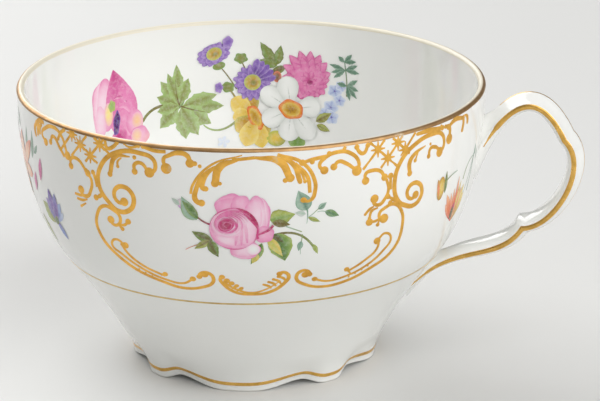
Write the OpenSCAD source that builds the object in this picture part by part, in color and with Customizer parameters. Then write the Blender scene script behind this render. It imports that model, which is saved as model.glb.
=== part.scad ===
// Footed porcelain tea cup: a turned bowl, a scalloped foot and a broken-scroll handle,
// stuck together with slip, with gilded lines laid in shallow seats.
// Millimetres. The origin is on the table at the middle of the foot, +Z up, the handle along +X.

/* [Bowl] */
// Outside diameter of the rim
rim_d = 100; // [92:0.5:108]
// Height from the table to the top of the rim
cup_h = 61; // [57:0.5:66]
// Wall thickness of the bowl at the girdle
wall = 2.2; // [1.8:0.1:3]
// Radius of the rounded lip
lip_r = 0.8; // [0.6:0.05:1]
// Thickness of the bowl's floor
floor_t = 2.6; // [2:0.1:4]
// Height of the girdle, where the belly meets the tapered base
girdle_z = 25; // [23:0.5:27]
// Outside diameter at the girdle
girdle_d = 81.6; // [78:0.2:85]

/* [Foot] */
// Height of the foot, up to its seam with the bowl
foot_h = 8; // [7:0.5:9.5]
// Outside diameter of the foot across its flared lobes, at the table
foot_d = 52.8; // [50:0.2:56]
// How far the lobes flare out past the slope of the base
foot_flare = 0.9; // [0.4:0.1:1.4]
// Diameter of the hollow under the foot
foot_bore_d = 43.6; // [40:0.2:44]
// Lean of the foot's side from upright, in degrees
foot_lean = 24; // [20:0.5:28]
// Angle that one of the four wide lobes spans, in degrees
wide_lobe = 61; // [55:0.5:66]
// How far the notches between the lobes go in
notch_in = 1.7; // [0.8:0.1:2]
// How high the notches arch off the table
notch_lift = 1.4; // [0.8:0.1:1.8]

/* [Handle] */
// How far the handle's upper knuckle stands out past the rim
knuckle_out = 16.9; // [14:0.1:20]
// Drop of the upper knuckle below the rim
knuckle_drop = 11.2; // [10:0.1:13]
// How far the handle's lower knuckle stands out past the rim
heel_out = 7.7; // [6:0.1:9]
// Rise of the lower knuckle above the girdle
heel_rise = 5.5; // [4.5:0.1:7]
// Width of the handle, edge to edge
handle_w = 8.4; // [7:0.1:10]
// Height of the handle's outer ridge above its edges
ridge_h = 2.15; // [1.8:0.05:2.8]
// Depth of the handle's rounded inner face below its edges
grip_h = 1.6; // [1.2:0.05:2.2]

/* [Gilding] */
// Thickness of the gold
gild_t = 0.12; // [0.08:0.01:0.2]
// Width of the gold down the outside of the lip
rim_gild_out = 0.95; // [0.9:0.05:2]
// Width of the gold down the inside of the lip
rim_gild_in = 0.95; // [0.9:0.05:2.5]
// Width of the girdle line
girdle_line_w = 0.55; // [0.3:0.05:1]
// Width of the line round the foot
foot_line_w = 0.8; // [0.5:0.05:1.2]
// Height of the foot line above the scalloped edge
foot_line_rise = 1.3; // [0.9:0.05:1.6]
// Width of the lines along the handle's edges
edge_line_w = 1.1; // [0.7:0.05:1.4]
// Width of the line along the handle's ridge
ridge_line_w = 0.7; // [0.4:0.05:1]

/* [Hidden] */

porcelain = "whitesmoke";
gold = "goldenrod";

rim_r = rim_d / 2;
girdle_r = girdle_d / 2;
foot_r = foot_d / 2 - foot_flare;
foot_bore_r = foot_bore_d / 2;
curve_steps = 28;
lip_steps = 14;
round_fn = 180;

// Pulls of the curves: how far a wall or the handle keeps its direction past a point
belly_pull = 9;
rim_pull = 17;
floor_pull = 12;
floor_drop = 8;

// Where the handle enters the wall, and how it leaves each point
upper_root_drop = 20.5;
lower_root_drop = 15.5;
upper_bury = 3;
lower_bury = 1.1;
upper_root_leave = [46.8, 6];
knuckle_arrive = [113, 21.9];
knuckle_leave = [-60, 6.8];
heel_arrive = [11.8, 13.7];
heel_leave = [-123.3, 12.2];
lower_root_arrive = [54.7, 25.4];
handle_steps = 20;
// The handle swells into the wall above and thins out against it below
upper_flare = 0.15;
lower_taper = -0.75;
lower_narrow = -0.3;
root_share = 0.22;
edge_round = 0.15;
// The film of slip between the handle and the bowl
slip_gap = 0.12;
// The handle's ends follow the bowl's wall in steps this many times as long as the wall's own
fit_stride = 4;

function unit(v) = v / norm(v);
function toward(angle, length) = length * [cos(angle), sin(angle)];
function bezier(p, t) = pow(1 - t, 3) * p[0] + 3 * pow(1 - t, 2) * t * p[1]
                      + 3 * (1 - t) * t * t * p[2] + pow(t, 3) * p[3];
function bezier_way(p, t) = 3 * pow(1 - t, 2) * (p[1] - p[0]) + 6 * (1 - t) * t * (p[2] - p[1])
                          + 3 * t * t * (p[3] - p[2]);

// Outside of the tapered base, a curve from the table to the girdle
base_slope = tan(foot_lean);
base_bow = (girdle_r - foot_r - base_slope * girdle_z) / (girdle_z * girdle_z);
function base_r(z) = foot_r + base_slope * z + base_bow * z * z;

// The girdle line's straight seat
girdle_way = unit([base_slope + 2 * base_bow * girdle_z, 1]);
girdle_out = [girdle_way.y, -girdle_way.x];
girdle_low = [girdle_r, girdle_z] - girdle_way * girdle_line_w / 2;
girdle_high = [girdle_r, girdle_z] + girdle_way * girdle_line_w / 2;

// Outside of the belly, from the girdle to the gold of the lip
lip_foot = [rim_r, cup_h - rim_gild_out];
belly = [girdle_high, girdle_high + girdle_way * belly_pull, lip_foot - [0, rim_pull - rim_gild_out], lip_foot];
base_points = [for (i = [0 : curve_steps]) let (z = foot_h + (girdle_low.y - foot_h) * i / curve_steps)
               [base_r(z) + (girdle_low.x - base_r(girdle_low.y)) * i / curve_steps, z]];
belly_points = [for (i = [0 : curve_steps]) bezier(belly, i / curve_steps)];

// Inside of the bowl: the wall thins towards the lip, and the floor is rounded into it
inner_lip_foot = [rim_r - 2 * lip_r, cup_h - rim_gild_in];
function inner_point(t) = let (way = unit(bezier_way(belly, t)), thick = wall + (2 * lip_r - wall) * t)
                          bezier(belly, t) + thick * [-way.y, way.x];
inner_start = inner_point(0);
inner_way = unit(bezier_way(belly, 0));
floor_z = foot_h + floor_t;
floor_curve = [inner_start, inner_start - inner_way * floor_pull,
               [base_r(floor_z) - floor_drop, floor_z], [0, floor_z]];
inner_points = [for (i = [0 : curve_steps - 1]) let (p = inner_point(1 - i / curve_steps))
                if (p.y < inner_lip_foot.y - 0.2) p];
floor_points = [for (i = [0 : curve_steps]) bezier(floor_curve, i / curve_steps)];

lip_centre = [rim_r - lip_r, cup_h - lip_r];
function lip_arc(r) = [for (i = [0 : lip_steps]) lip_centre + toward(180 * i / lip_steps, r)];
function backwards(list) = [for (i = [len(list) - 1 : -1 : 0]) list[i]];

bowl_outline = concat(
    [[0, foot_h]],
    base_points,
    [girdle_low - girdle_out * gild_t, girdle_high - girdle_out * gild_t],
    belly_points,
    [lip_foot - [gild_t, 0]],
    lip_arc(lip_r - gild_t),
    [inner_lip_foot + [gild_t, 0], inner_lip_foot],
    inner_points,
    floor_points);

module bowl() {
    color(porcelain) rotate_extrude($fn = round_fn) polygon(bowl_outline);
}

module rim_gilding() {
    color(gold) rotate_extrude($fn = round_fn)
        polygon(concat([lip_foot], lip_arc(lip_r), [inner_lip_foot, inner_lip_foot + [gild_t, 0]],
                       backwards(lip_arc(lip_r - gild_t)), [lip_foot - [gild_t, 0]]));
}

module girdle_gilding() {
    color(gold) rotate_extrude($fn = round_fn)
        polygon([girdle_low, girdle_high, girdle_high - girdle_out * gild_t, girdle_low - girdle_out * gild_t]);
}

// A closed skin over rings of points: each ring has as many points, and the last ring joins the first
// when looped, or else both ends are capped.
function ring_faces(rings, count, looped) = [
    for (i = [0 : looped ? rings - 1 : rings - 2], j = [0 : count - 1])
        let (a = i * count + j, b = i * count + (j + 1) % count,
             c = ((i + 1) % rings) * count + (j + 1) % count, d = ((i + 1) % rings) * count + j)
        each [[a, b, c], [a, c, d]]];
module ring_skin(rings, looped = false) {
    count = len(rings[0]);
    caps = looped ? [] : [[for (j = [count - 1 : -1 : 0]) j],
                          [for (j = [0 : count - 1]) (len(rings) - 1) * count + j]];
    polyhedron([for (ring = rings) each ring], concat(ring_faces(len(rings), count, looped), caps), 6);
}

// The scalloped foot: four wide lobes alternate with four narrow ones, and each notch goes in and arches up
foot_steps = 144;
foot_edge = 0.5;
// How far the lobes would dip below the table, where they are ground flat
lobe_dip = 0.12;
fade_power = 1.5;
notch_power = 1.6;
flare_rise = 5.5;
rows_above_line = [0.2, 0.4, 0.6, 0.8];
function notch(angle) = let (m = abs((angle + 45) % 90 - 45), half = wide_lobe / 2,
                             u = m < half ? m / half : (45 - m) / (45 - half))
                        pow((1 - cos(180 * u)) / 2, notch_power);
// The lobes flare out like petals towards the table
function flare(z) = foot_flare * pow(max(0, 1 - z / flare_rise), 2);
function edge_z(angle) = notch_lift * notch(angle) - lobe_dip;
function foot_point(angle, rise, inset) =
    let (z = edge_z(angle) + rise,
         fade = pow(max(0, 1 - rise / (foot_h - edge_z(angle))), fade_power),
         r = base_r(z) + flare(z) - notch_in * notch(angle) * fade - inset)
    [r * cos(angle), r * sin(angle), z];
function bore_point(angle, z) = [foot_bore_r * cos(angle), foot_bore_r * sin(angle), z];
function foot_angles() = [for (i = [0 : foot_steps - 1]) 360 * i / foot_steps];

module foot() {
    low = foot_line_rise;
    high = foot_line_rise + foot_line_w;
    rings = [for (a = foot_angles())
        let (left = foot_h - edge_z(a) - high)
        [bore_point(a, edge_z(a)), foot_point(a, 0, foot_edge), foot_point(a, foot_edge, 0),
         foot_point(a, low, 0), foot_point(a, low, gild_t), foot_point(a, high, gild_t), foot_point(a, high, 0),
         for (share = rows_above_line) foot_point(a, high + left * share, 0),
         foot_point(a, foot_h - edge_z(a), 0), bore_point(a, foot_h)]];
    color(porcelain) difference() {
        ring_skin(rings, true);
        translate([-foot_d, -foot_d, -foot_d]) cube([2 * foot_d, 2 * foot_d, foot_d]);
    }
}

module foot_gilding() {
    low = foot_line_rise;
    high = foot_line_rise + foot_line_w;
    rings = [for (a = foot_angles())
        [foot_point(a, low, gild_t), foot_point(a, low, 0), foot_point(a, high, 0), foot_point(a, high, gild_t)]];
    color(gold) ring_skin(rings, true);
}

// The handle's line: three swelling curves that break at the knuckle and at the heel
function outer_r(z) = z < girdle_z ? base_r(z) : lookup(z, [for (p = belly_points) [p.y, p.x]]);
upper_root_z = cup_h - upper_root_drop;
lower_root_z = girdle_z - lower_root_drop;
upper_root = [outer_r(upper_root_z) - upper_bury, upper_root_z];
lower_root = [outer_r(lower_root_z) - lower_bury, lower_root_z];
knuckle = [rim_r + knuckle_out, cup_h - knuckle_drop];
heel = [rim_r + heel_out, girdle_z + heel_rise];
function leave(p, way) = p + toward(way[0], way[1]);
handle_curves = [
    [upper_root, leave(upper_root, upper_root_leave), leave(knuckle, knuckle_arrive), knuckle],
    [knuckle, leave(knuckle, knuckle_leave), leave(heel, heel_arrive), heel],
    [heel, leave(heel, heel_leave), leave(lower_root, lower_root_arrive), lower_root]];
last_station = len(handle_curves) * handle_steps;
function curve_of(i) = min(len(handle_curves) - 1, floor(i / handle_steps));
function line_at(i) = bezier(handle_curves[curve_of(i)], i / handle_steps - curve_of(i));
function way_at(i) = unit(bezier_way(handle_curves[curve_of(i)], i / handle_steps - curve_of(i)));
// At a break the section stands on the bisector, stretched to keep its thickness
function is_break(i) = i % handle_steps == 0 && i > 0 && i < last_station;
function way_before(i) = unit(bezier_way(handle_curves[i / handle_steps - 1], 1));
function station_way(i) = is_break(i) ? unit(way_at(i) + way_before(i)) : way_at(i);
function stretch(i) = is_break(i) ? 1 / (station_way(i) * way_at(i)) : 1;
function root_ease(i) = let (s = i / (last_station * root_share)) s < 1 ? (1 - s) * (1 - s) : 0;
function swell(i) = 1 + upper_flare * root_ease(i) + lower_taper * root_ease(last_station - i);
// A section point [across, out] at a station, out being away from the finger gap
function swept(i, p) = let (way = station_way(i), out = [-way.y, way.x] * stretch(i) * swell(i),
                            q = line_at(i) + out * p.y)
                       [q.x, p.x * (1 + lower_narrow * root_ease(last_station - i)), q.y];
module sweep(section) {
    ring_skin([for (i = [0 : last_station]) [for (p = section) swept(i, p)]]);
}

// The handle's section: a roof with a ridge outside, gilded edges, and a rounded grip inside
half_w = handle_w / 2;
half_line = edge_line_w / 2;
half_ridge = ridge_line_w / 2;
edge_w = half_w - edge_round;
ridge_low = ridge_h - (ridge_h - half_line) * half_ridge / edge_w;
roof_hollow = 0.12;
grip_steps = 8;
function roof(share) = [half_ridge + (edge_w - half_ridge) * share,
                        ridge_low + (half_line - ridge_low) * share - roof_hollow * sin(180 * share)];
edge_seat = [[edge_w, half_line], [edge_w - gild_t, half_line], [half_w - gild_t, 0],
             [edge_w - gild_t, -half_line], [edge_w, -half_line]];
edge_line = [[edge_w, half_line], [edge_w - gild_t, half_line], [half_w - gild_t, 0],
             [edge_w - gild_t, -half_line], [edge_w, -half_line], [half_w, 0]];
ridge_line = [[half_ridge, ridge_low], [0, ridge_h], [-half_ridge, ridge_low],
              [-half_ridge, ridge_low - gild_t], [0, ridge_h - gild_t], [half_ridge, ridge_low - gild_t]];
function mirrored(list) = [for (p = backwards(list)) [-p.x, p.y]];
grip = [for (i = [1 : grip_steps - 1]) let (a = 180 * i / grip_steps)
        [edge_w * cos(a), -half_line - (grip_h - half_line) * sin(a)]];
handle_right = concat([[half_ridge, ridge_low - gild_t], [half_ridge, ridge_low]],
                      [roof(0.33), roof(0.67)], edge_seat);
handle_section = concat([[0, ridge_h - gild_t]], handle_right, grip, mirrored(handle_right));

// Everything inside the bowl's outside, with the slip's film round it
module inside_bowl() {
    skin = concat([for (i = [0 : fit_stride : curve_steps]) base_points[i]],
                  [for (i = [fit_stride : fit_stride : curve_steps]) belly_points[i]]);
    rotate_extrude($fn = round_fn)
        polygon(concat([[0, foot_h]], [for (p = skin) p + [slip_gap, 0]], [[0, lip_foot.y]]));
}

module handle() {
    color(porcelain) difference() {
        sweep(handle_section);
        inside_bowl();
    }
}

module handle_edge_gilding() {
    color(gold) for (line = [edge_line, mirrored(edge_line)])
        difference() {
            sweep(line);
            inside_bowl();
        }
}

module handle_ridge_gilding() {
    color(gold) difference() {
        sweep(ridge_line);
        inside_bowl();
    }
}

bowl();
foot();
handle();
rim_gilding();
girdle_gilding();
foot_gilding();
handle_edge_gilding();
handle_ridge_gilding();
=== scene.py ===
import bisect
import math
import random
import bmesh
import bpy
from mathutils import Matrix, Vector, noise
from mathutils.geometry import interpolate_bezier, intersect_line_line_2d


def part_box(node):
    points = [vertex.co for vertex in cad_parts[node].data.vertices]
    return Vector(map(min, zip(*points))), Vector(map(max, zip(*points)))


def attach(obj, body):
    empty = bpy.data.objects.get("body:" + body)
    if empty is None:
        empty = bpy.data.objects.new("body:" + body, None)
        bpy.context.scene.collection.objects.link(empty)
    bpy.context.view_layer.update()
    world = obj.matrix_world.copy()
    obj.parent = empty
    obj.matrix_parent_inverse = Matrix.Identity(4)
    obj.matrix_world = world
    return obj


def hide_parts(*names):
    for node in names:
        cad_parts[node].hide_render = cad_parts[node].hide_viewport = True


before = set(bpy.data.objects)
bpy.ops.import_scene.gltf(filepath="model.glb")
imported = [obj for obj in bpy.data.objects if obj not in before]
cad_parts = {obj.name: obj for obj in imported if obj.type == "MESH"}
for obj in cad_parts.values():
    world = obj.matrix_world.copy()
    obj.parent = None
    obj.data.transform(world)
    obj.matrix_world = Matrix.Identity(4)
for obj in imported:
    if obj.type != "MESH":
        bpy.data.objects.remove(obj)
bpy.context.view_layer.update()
mm = 0.001
scene = bpy.context.scene

# the cup's own sizes in mm, read from the frame where it has them
raisedGold = {"side": 0.1, "top": 0.031}     # room left for it inside the solids' box
cup = {
    "rimRadius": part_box("bowl")[1].y / mm - raisedGold["side"],
    "rimTop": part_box("rim_gilding")[1].z / mm - raisedGold["top"],
    "seam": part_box("bowl")[0].z / mm,
    "girdle": (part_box("girdle_gilding")[0].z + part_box("girdle_gilding")[1].z) / 2 / mm,
    "girdleRadius": 40.8,
    "footRadius": 25.5,
    "footLean": 24,          # degrees from upright
    "wall": 2.2,
    "lip": 0.8,
    "floorThickness": 2.6,
    "goldDown": (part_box("rim_gilding")[1].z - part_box("rim_gilding")[0].z) / mm,
    "frontTurn": -82.5,      # where the camera and the front cartouche stand, degrees round from the handle
}


def flat(x, z):
    return Vector((x, 0, z))


def pointing(degrees):
    return Vector((math.cos(math.radians(degrees)), math.sin(math.radians(degrees))))


def curvePoints(start, startPull, endPull, end, count):
    return [Vector(p) for p in interpolate_bezier(start, startPull, endPull, end, count)]


# outline of the wall, outside and inside
baseSlope = math.tan(math.radians(cup["footLean"]))
baseBow = (cup["girdleRadius"] - cup["footRadius"] - baseSlope * cup["girdle"]) / cup["girdle"] ** 2


def baseRadius(z):
    return cup["footRadius"] + baseSlope * z + baseBow * z * z


girdlePoint = flat(cup["girdleRadius"], cup["girdle"])
girdleWay = flat(baseSlope + 2 * baseBow * cup["girdle"], 1).normalized()
lipFoot = flat(cup["rimRadius"], cup["rimTop"] - cup["goldDown"])
wallShape = {"bellyPull": 9, "rimPull": 17 - cup["goldDown"], "floorPull": 12, "floorDrop": 8, "steps": 40}
bellyPoints = curvePoints(girdlePoint, girdlePoint + girdleWay * wallShape["bellyPull"],
                          lipFoot - flat(0, wallShape["rimPull"]), lipFoot, wallShape["steps"])
baseHeights = [cup["girdle"] * i / wallShape["steps"] for i in range(wallShape["steps"])]
basePoints = [flat(baseRadius(z), z) for z in baseHeights]


def wayAlong(points, i):
    return (points[min(i + 1, len(points) - 1)] - points[max(i - 1, 0)]).normalized()


def inwardOf(points):
    moved = []
    for i, point in enumerate(points):
        way = wayAlong(points, i)
        thick = cup["wall"] + (2 * cup["lip"] - cup["wall"]) * i / (len(points) - 1)
        moved.append(point + flat(-way.z, way.x) * thick)
    return moved


innerPoints = inwardOf(bellyPoints)


def makeWall(points, side):
    # arcs are counted in mm up the wall from the girdle
    arcs = [0.0]
    for a, b in zip(points, points[1:]):
        arcs.append(arcs[-1] + (b - a).length)
    nearest = min(range(len(points)), key=lambda i: abs(points[i].z - cup["girdle"]))
    zero = arcs[nearest] if side > 0 else 0
    ways = [wayAlong(points, i) for i in range(len(points))]
    outs = [flat(way.z, -way.x) * side for way in ways]
    return {"points": points, "arcs": [a - zero for a in arcs], "outs": outs, "side": side,
            "heights": [p.z for p in points]}


outsideWall = makeWall(basePoints + bellyPoints + [flat(cup["rimRadius"], cup["rimTop"])], 1)
insideWall = makeWall(innerPoints + [innerPoints[-1] + flat(0, 1)], -1)


def wallStep(steps, value):
    i = min(max(bisect.bisect_right(steps, value) - 1, 0), len(steps) - 2)
    return i, (value - steps[i]) / (steps[i + 1] - steps[i])


def onWall(wall, centre, x, arc, lift):
    # bends a flat place round the cup: x across, arc up, lift off the wall, the middle at centre degrees
    i, share = wallStep(wall["arcs"], arc)
    point = wall["points"][i].lerp(wall["points"][i + 1], share)
    place = point + wall["outs"][i].lerp(wall["outs"][i + 1], share) * lift
    angle = math.radians(centre) + wall["side"] * x / point.x
    return Vector((place.x * math.cos(angle), place.x * math.sin(angle), place.z)) * mm


def wallRadius(z):
    i, share = wallStep(outsideWall["heights"], z)
    return outsideWall["points"][i].lerp(outsideWall["points"][i + 1], share).x


# shared steps of making a piece
def spinOutline(points, steps, closed):
    bm = bmesh.new()
    verts = [bm.verts.new(p * mm) for p in points]
    edges = [bm.edges.new(pair) for pair in zip(verts, verts[1:])]
    if closed:
        edges.append(bm.edges.new((verts[-1], verts[0])))
    bmesh.ops.spin(bm, geom=verts + edges, cent=(0, 0, 0), axis=(0, 0, 1), dvec=(0, 0, 0),
                   angle=math.tau, steps=steps, use_merge=True)
    bmesh.ops.remove_doubles(bm, verts=bm.verts, dist=1e-7)
    bmesh.ops.recalc_face_normals(bm, faces=bm.faces)
    return bm


def addPiece(name, bm, material, replaced=(), sharpAngle=40):
    mesh = bpy.data.meshes.new(name)
    bm.to_mesh(mesh)
    bm.free()
    mesh.shade_smooth()
    mesh.set_sharp_from_angle(angle=math.radians(sharpAngle))
    mesh.materials.append(material)
    piece = bpy.data.objects.new(name, mesh)
    scene.collection.objects.link(piece)
    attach(piece, "root")
    if replaced:
        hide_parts(*replaced)
    print("made", name, len(mesh.polygons), "faces")


# materials
class Recipe:
    # a material being mixed: textures and colours are added, and then led to its shader
    def __init__(self, name):
        self.material = bpy.data.materials.new(name)
        self.material.use_nodes = True
        self.nodes = self.material.node_tree.nodes
        self.coords = self.nodes.new("ShaderNodeTexCoord").outputs["Object"]

    def lead(self, sockets, sources):
        # a socket takes what another node gives, a colour or a number
        for name, source in sources.items():
            socket = sockets[name]
            if isinstance(source, bpy.types.NodeSocket):
                self.material.node_tree.links.new(source, socket)
            elif socket.type == "RGBA":
                socket.default_value = (*source, 1)
            else:
                socket.default_value = source

    def add(self, kind, sources):
        node = self.nodes.new(kind)
        self.lead(node.inputs, sources)
        return node.outputs

    def work(self, kind, operation, *sources):
        node = self.nodes.new(kind)
        node.operation = operation
        self.lead(node.inputs, dict(enumerate(sources)))
        return node.outputs

    def grain(self, scale, detail, rough=0.5):
        sources = {"Vector": self.coords, "Scale": scale, "Detail": detail, "Roughness": rough}
        return self.add("ShaderNodeTexNoise", sources)["Fac"]

    def spread(self, value, fromLow, fromHigh, toLow, toHigh):
        # one range of values drawn out to another
        sources = {"Value": value, "From Min": fromLow, "From Max": fromHigh,
                   "To Min": toLow, "To Max": toHigh}
        return self.add("ShaderNodeMapRange", sources)["Result"]

    def mix(self, share, first, second, way="MIX"):
        node = self.nodes.new("ShaderNodeMix")
        node.data_type = "RGBA"
        node.blend_type = way
        self.lead(node.inputs, {"Factor": share, "A": first, "B": second})
        return node.outputs["Result"]

    def shade(self, sources):
        self.lead(self.nodes["Principled BSDF"].inputs, sources)

    def ripple(self, height, strength, depth):
        sources = {"Strength": strength, "Distance": depth * mm, "Height": height}
        self.shade({"Normal": self.add("ShaderNodeBump", sources)["Normal"]})


midGrain = (0.3, 0.7)      # where most values of a grain lie
glaze = {
    "white": (0.90, 0.90, 0.872),
    "cool": (0.875, 0.882, 0.856),
    "cloudScale": 28,
    "clouds": (0.35, 0.65),        # from which value of the grain to which white turns to cool
    "rough": (0.05, 0.10),
    "roughScale": 140,
    "biscuit": (0.62, 0.60, 0.55),
    "biscuitRough": 0.7,
    "groundEdge": (0.1, 0.4),      # mm from the table, over which bare biscuit turns to glaze
    "ripple": 0.04,                # mm
    "rippleScale": 55,
    "rippleStrength": 0.25,
    "refraction": 1.52,
}


def makePorcelain():
    recipe = Recipe("glazedPorcelain")
    cloud = recipe.spread(recipe.grain(glaze["cloudScale"], 3), *glaze["clouds"], 0, 1)
    body = recipe.mix(cloud, glaze["white"], glaze["cool"])
    height = recipe.add("ShaderNodeSeparateXYZ", {"Vector": recipe.coords})["Z"]
    ground = recipe.spread(height, *[edge * mm for edge in glaze["groundEdge"]], 1, 0)
    gloss = recipe.spread(recipe.grain(glaze["roughScale"], 4), *midGrain, *glaze["rough"])
    dull = recipe.spread(ground, 0, 1, 0, glaze["biscuitRough"])
    rough = recipe.work("ShaderNodeMath", "MAXIMUM", gloss, dull)["Value"]
    tint = recipe.mix(ground, body, glaze["biscuit"])
    recipe.shade({"Base Color": tint, "Roughness": rough, "IOR": glaze["refraction"]})
    recipe.ripple(recipe.grain(glaze["rippleScale"], 2), glaze["rippleStrength"], glaze["ripple"])
    return recipe.material


gilding = {
    "scroll": {"bright": (0.95, 0.53, 0.10), "deep": (0.70, 0.36, 0.06), "rough": 0.34, "metal": 0.8},
    "line": {"bright": (0.88, 0.53, 0.14), "deep": (0.60, 0.34, 0.07), "rough": 0.24, "metal": 0.9},
    "rim": {"bright": (0.52, 0.31, 0.135), "deep": (0.36, 0.20, 0.08), "rough": 0.28, "metal": 0.75},
    "girdle": {"bright": (0.78, 0.57, 0.22), "deep": (0.55, 0.38, 0.12), "rough": 0.3, "metal": 0.7},
    "brushScale": 420,
    "brushed": (0.35, 0.7),        # from which value of the grain to which bright turns to deep
    "roughSpread": 0.14,
    "relief": 0.03,                # mm
    "reliefStrength": 0.3,
    "patchScale": 160,
    "patches": (0.64, 0.74),       # how strong the grain must be for a thin patch
    "worn": (0.70, 0.56, 0.38),
    "wornMetal": 0.25,
    "rimReflection": (49.15, 49.45),     # mm from the axis: painted pale inside this, a painted reflection of the bright inside of the bowl, and gold outside
    # strength, pale tint and metal of the painted reflection on the rim's inner side
    "paintedReflection": 0.9,
    "rimReflectionTint": (0.86, 0.82, 0.68),
    "rimReflectionMetal": 0.05,
}


def makeGold(name, tone, fade=None):
    recipe = Recipe(name)
    brush = recipe.grain(gilding["brushScale"], 5, 0.6)
    gold = recipe.mix(recipe.spread(brush, *gilding["brushed"], 0, 1), tone["bright"], tone["deep"])
    thin = recipe.spread(recipe.grain(gilding["patchScale"], 6, 0.65), *gilding["patches"], 0, 1)
    gold = recipe.mix(thin, gold, gilding["worn"])
    if fade:      # the inner side of the rim is painted pale, a painted reflection of the bright inside of the bowl
        level = recipe.work("ShaderNodeVectorMath", "MULTIPLY", recipe.coords, (1, 1, 0))["Vector"]
        reach = recipe.work("ShaderNodeVectorMath", "LENGTH", level)["Value"]
        paintedReflection = recipe.spread(reach, fade[0] * mm, fade[1] * mm, gilding["paintedReflection"], 0)
        gold = recipe.mix(paintedReflection, gold, gilding["rimReflectionTint"])
        metal = recipe.spread(paintedReflection, 0, gilding["paintedReflection"], tone["metal"], gilding["rimReflectionMetal"])
    else:
        metal = recipe.spread(thin, 0, 1, tone["metal"], gilding["wornMetal"])
    rough = recipe.spread(brush, *midGrain, tone["rough"], tone["rough"] + gilding["roughSpread"])
    recipe.shade({"Base Color": gold, "Metallic": metal, "Roughness": rough})
    recipe.ripple(brush, gilding["reliefStrength"], gilding["relief"])
    return recipe.material


overglaze = {
    "stippleScale": 1300,
    "stippled": (0.45, 0.75),      # values of the grain over which the paint turns lighter
    "light": (0.86, 0.85, 0.84),
    "lighten": 0.25,
    "washScale": 380,
    "washed": (0.42, 0.7),         # and over which it turns deeper
    "deepen": 0.22,
    "rough": (0.10, 0.2),
    "relief": 0.02,                # mm
    "reliefStrength": 0.15,
}


def makeEnamel():
    recipe = Recipe("enamelPaint")
    attribute = recipe.nodes.new("ShaderNodeAttribute")
    attribute.attribute_name = "paint"
    paint = attribute.outputs["Color"]
    stipple = recipe.grain(overglaze["stippleScale"], 4, 0.65)
    wash = recipe.grain(overglaze["washScale"], 3)
    pale = recipe.spread(stipple, *overglaze["stippled"], 0, overglaze["lighten"])
    deep = recipe.spread(wash, *overglaze["washed"], 0, overglaze["deepen"])
    tint = recipe.mix(deep, recipe.mix(pale, paint, overglaze["light"]), paint, "MULTIPLY")
    rough = recipe.spread(stipple, *midGrain, *overglaze["rough"])
    recipe.shade({"Base Color": tint, "Roughness": rough, "IOR": glaze["refraction"]})
    recipe.ripple(stipple, overglaze["reliefStrength"], overglaze["relief"])
    return recipe.material


porcelain = makePorcelain()
# the rim gold carries a painted reflection of the bright bowl on its inner side
rimGilt = makeGold("rimGilt", gilding["rim"], gilding["rimReflection"])
lineGilt = makeGold("lineGilt", gilding["line"])
girdleGilt = makeGold("girdleGilt", gilding["girdle"])
scrollGilt = makeGold("scrollGilt", gilding["scroll"])
enamel = makeEnamel()
print("materials mixed")


# bowl: one outline, spun
def arcPoints(centre, radius, fromDegrees, toDegrees, count):
    angles = [fromDegrees + (toDegrees - fromDegrees) * i / count for i in range(count + 1)]
    return [centre + flat(*pointing(angle)) * radius for angle in angles]


bowl = {
    "steps": 224,
    "lipSteps": 12,
    "floorSteps": 24,
    "seatClear": 0.1,        # points of the wall nearer than this to the seat or to the lip are left out
    "lipClear": 0.2,
}
lipCentre = flat(cup["rimRadius"] - cup["lip"], cup["rimTop"] - cup["lip"])
floorTop = cup["seam"] + cup["floorThickness"]
innerLipFoot = flat(cup["rimRadius"] - 2 * cup["lip"], cup["rimTop"] - cup["goldDown"])


def makeBowl():
    start, way = innerPoints[0], wayAlong(innerPoints, 0)
    floorEdge = flat(baseRadius(floorTop) - wallShape["floorDrop"], floorTop)
    floor = curvePoints(start, start - way * wallShape["floorPull"], floorEdge, flat(0, floorTop),
                        bowl["floorSteps"])
    seat = [flat(0, cup["seam"]), flat(baseRadius(cup["seam"]), cup["seam"])]
    outside = [p for p in basePoints if p.z > cup["seam"] + bowl["seatClear"]] + bellyPoints
    lip = arcPoints(lipCentre, cup["lip"], 0, 180, bowl["lipSteps"]) + [innerLipFoot]
    inside = [p for p in reversed(innerPoints[1:]) if p.z < innerLipFoot.z - bowl["lipClear"]]
    outline = seat + outside + lip + inside + floor
    addPiece("cupBowl", spinOutline(outline, bowl["steps"], False), porcelain, ["bowl"])


makeBowl()

# foot: a ring spun round, then drawn into lobes
foot = {
    "steps": 288,
    "bore": 21.8,
    "boreWall": 1,           # what is this near to the bore stays round
    "wideLobe": 61,          # degrees
    "notchIn": 1.7,
    "notchLift": 1.4,
    "notchPower": 1.6,
    "flare": 0.9,            # the lobes spread out like petals at the table
    "flareRise": 5.5,
    "dip": 0.12,             # ground off the lobes
    "edgeRound": 0.5,
    "fade": 1.5,             # how soon a notch closes on its way up
    "liftReach": 1.4,
    "rows": 14,
}


def notchShare(angle):
    off = abs((math.degrees(angle) + 45) % 90 - 45)
    half = foot["wideLobe"] / 2
    along = off / half if off < half else (45 - off) / (45 - half)
    return ((1 - math.cos(math.pi * along)) / 2) ** foot["notchPower"]


def drawLobes(bm):
    for vert in bm.verts:
        rise, reach = vert.co.z / mm, math.hypot(vert.co.x, vert.co.y) / mm
        angle = math.atan2(vert.co.y, vert.co.x)
        notch = notchShare(angle)
        left = max(0, 1 - rise / cup["seam"])
        height = max(0, rise + (foot["notchLift"] * notch - foot["dip"]) * min(1, left * foot["liftReach"]))
        if reach > foot["bore"] + foot["boreWall"]:
            reach += baseRadius(height) - baseRadius(rise) - foot["notchIn"] * notch * left ** foot["fade"]
            reach += foot["flare"] * max(0, 1 - height / foot["flareRise"]) ** 2
        vert.co = Vector((reach * math.cos(angle), reach * math.sin(angle), height)) * mm
    bmesh.ops.recalc_face_normals(bm, faces=bm.faces)


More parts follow.
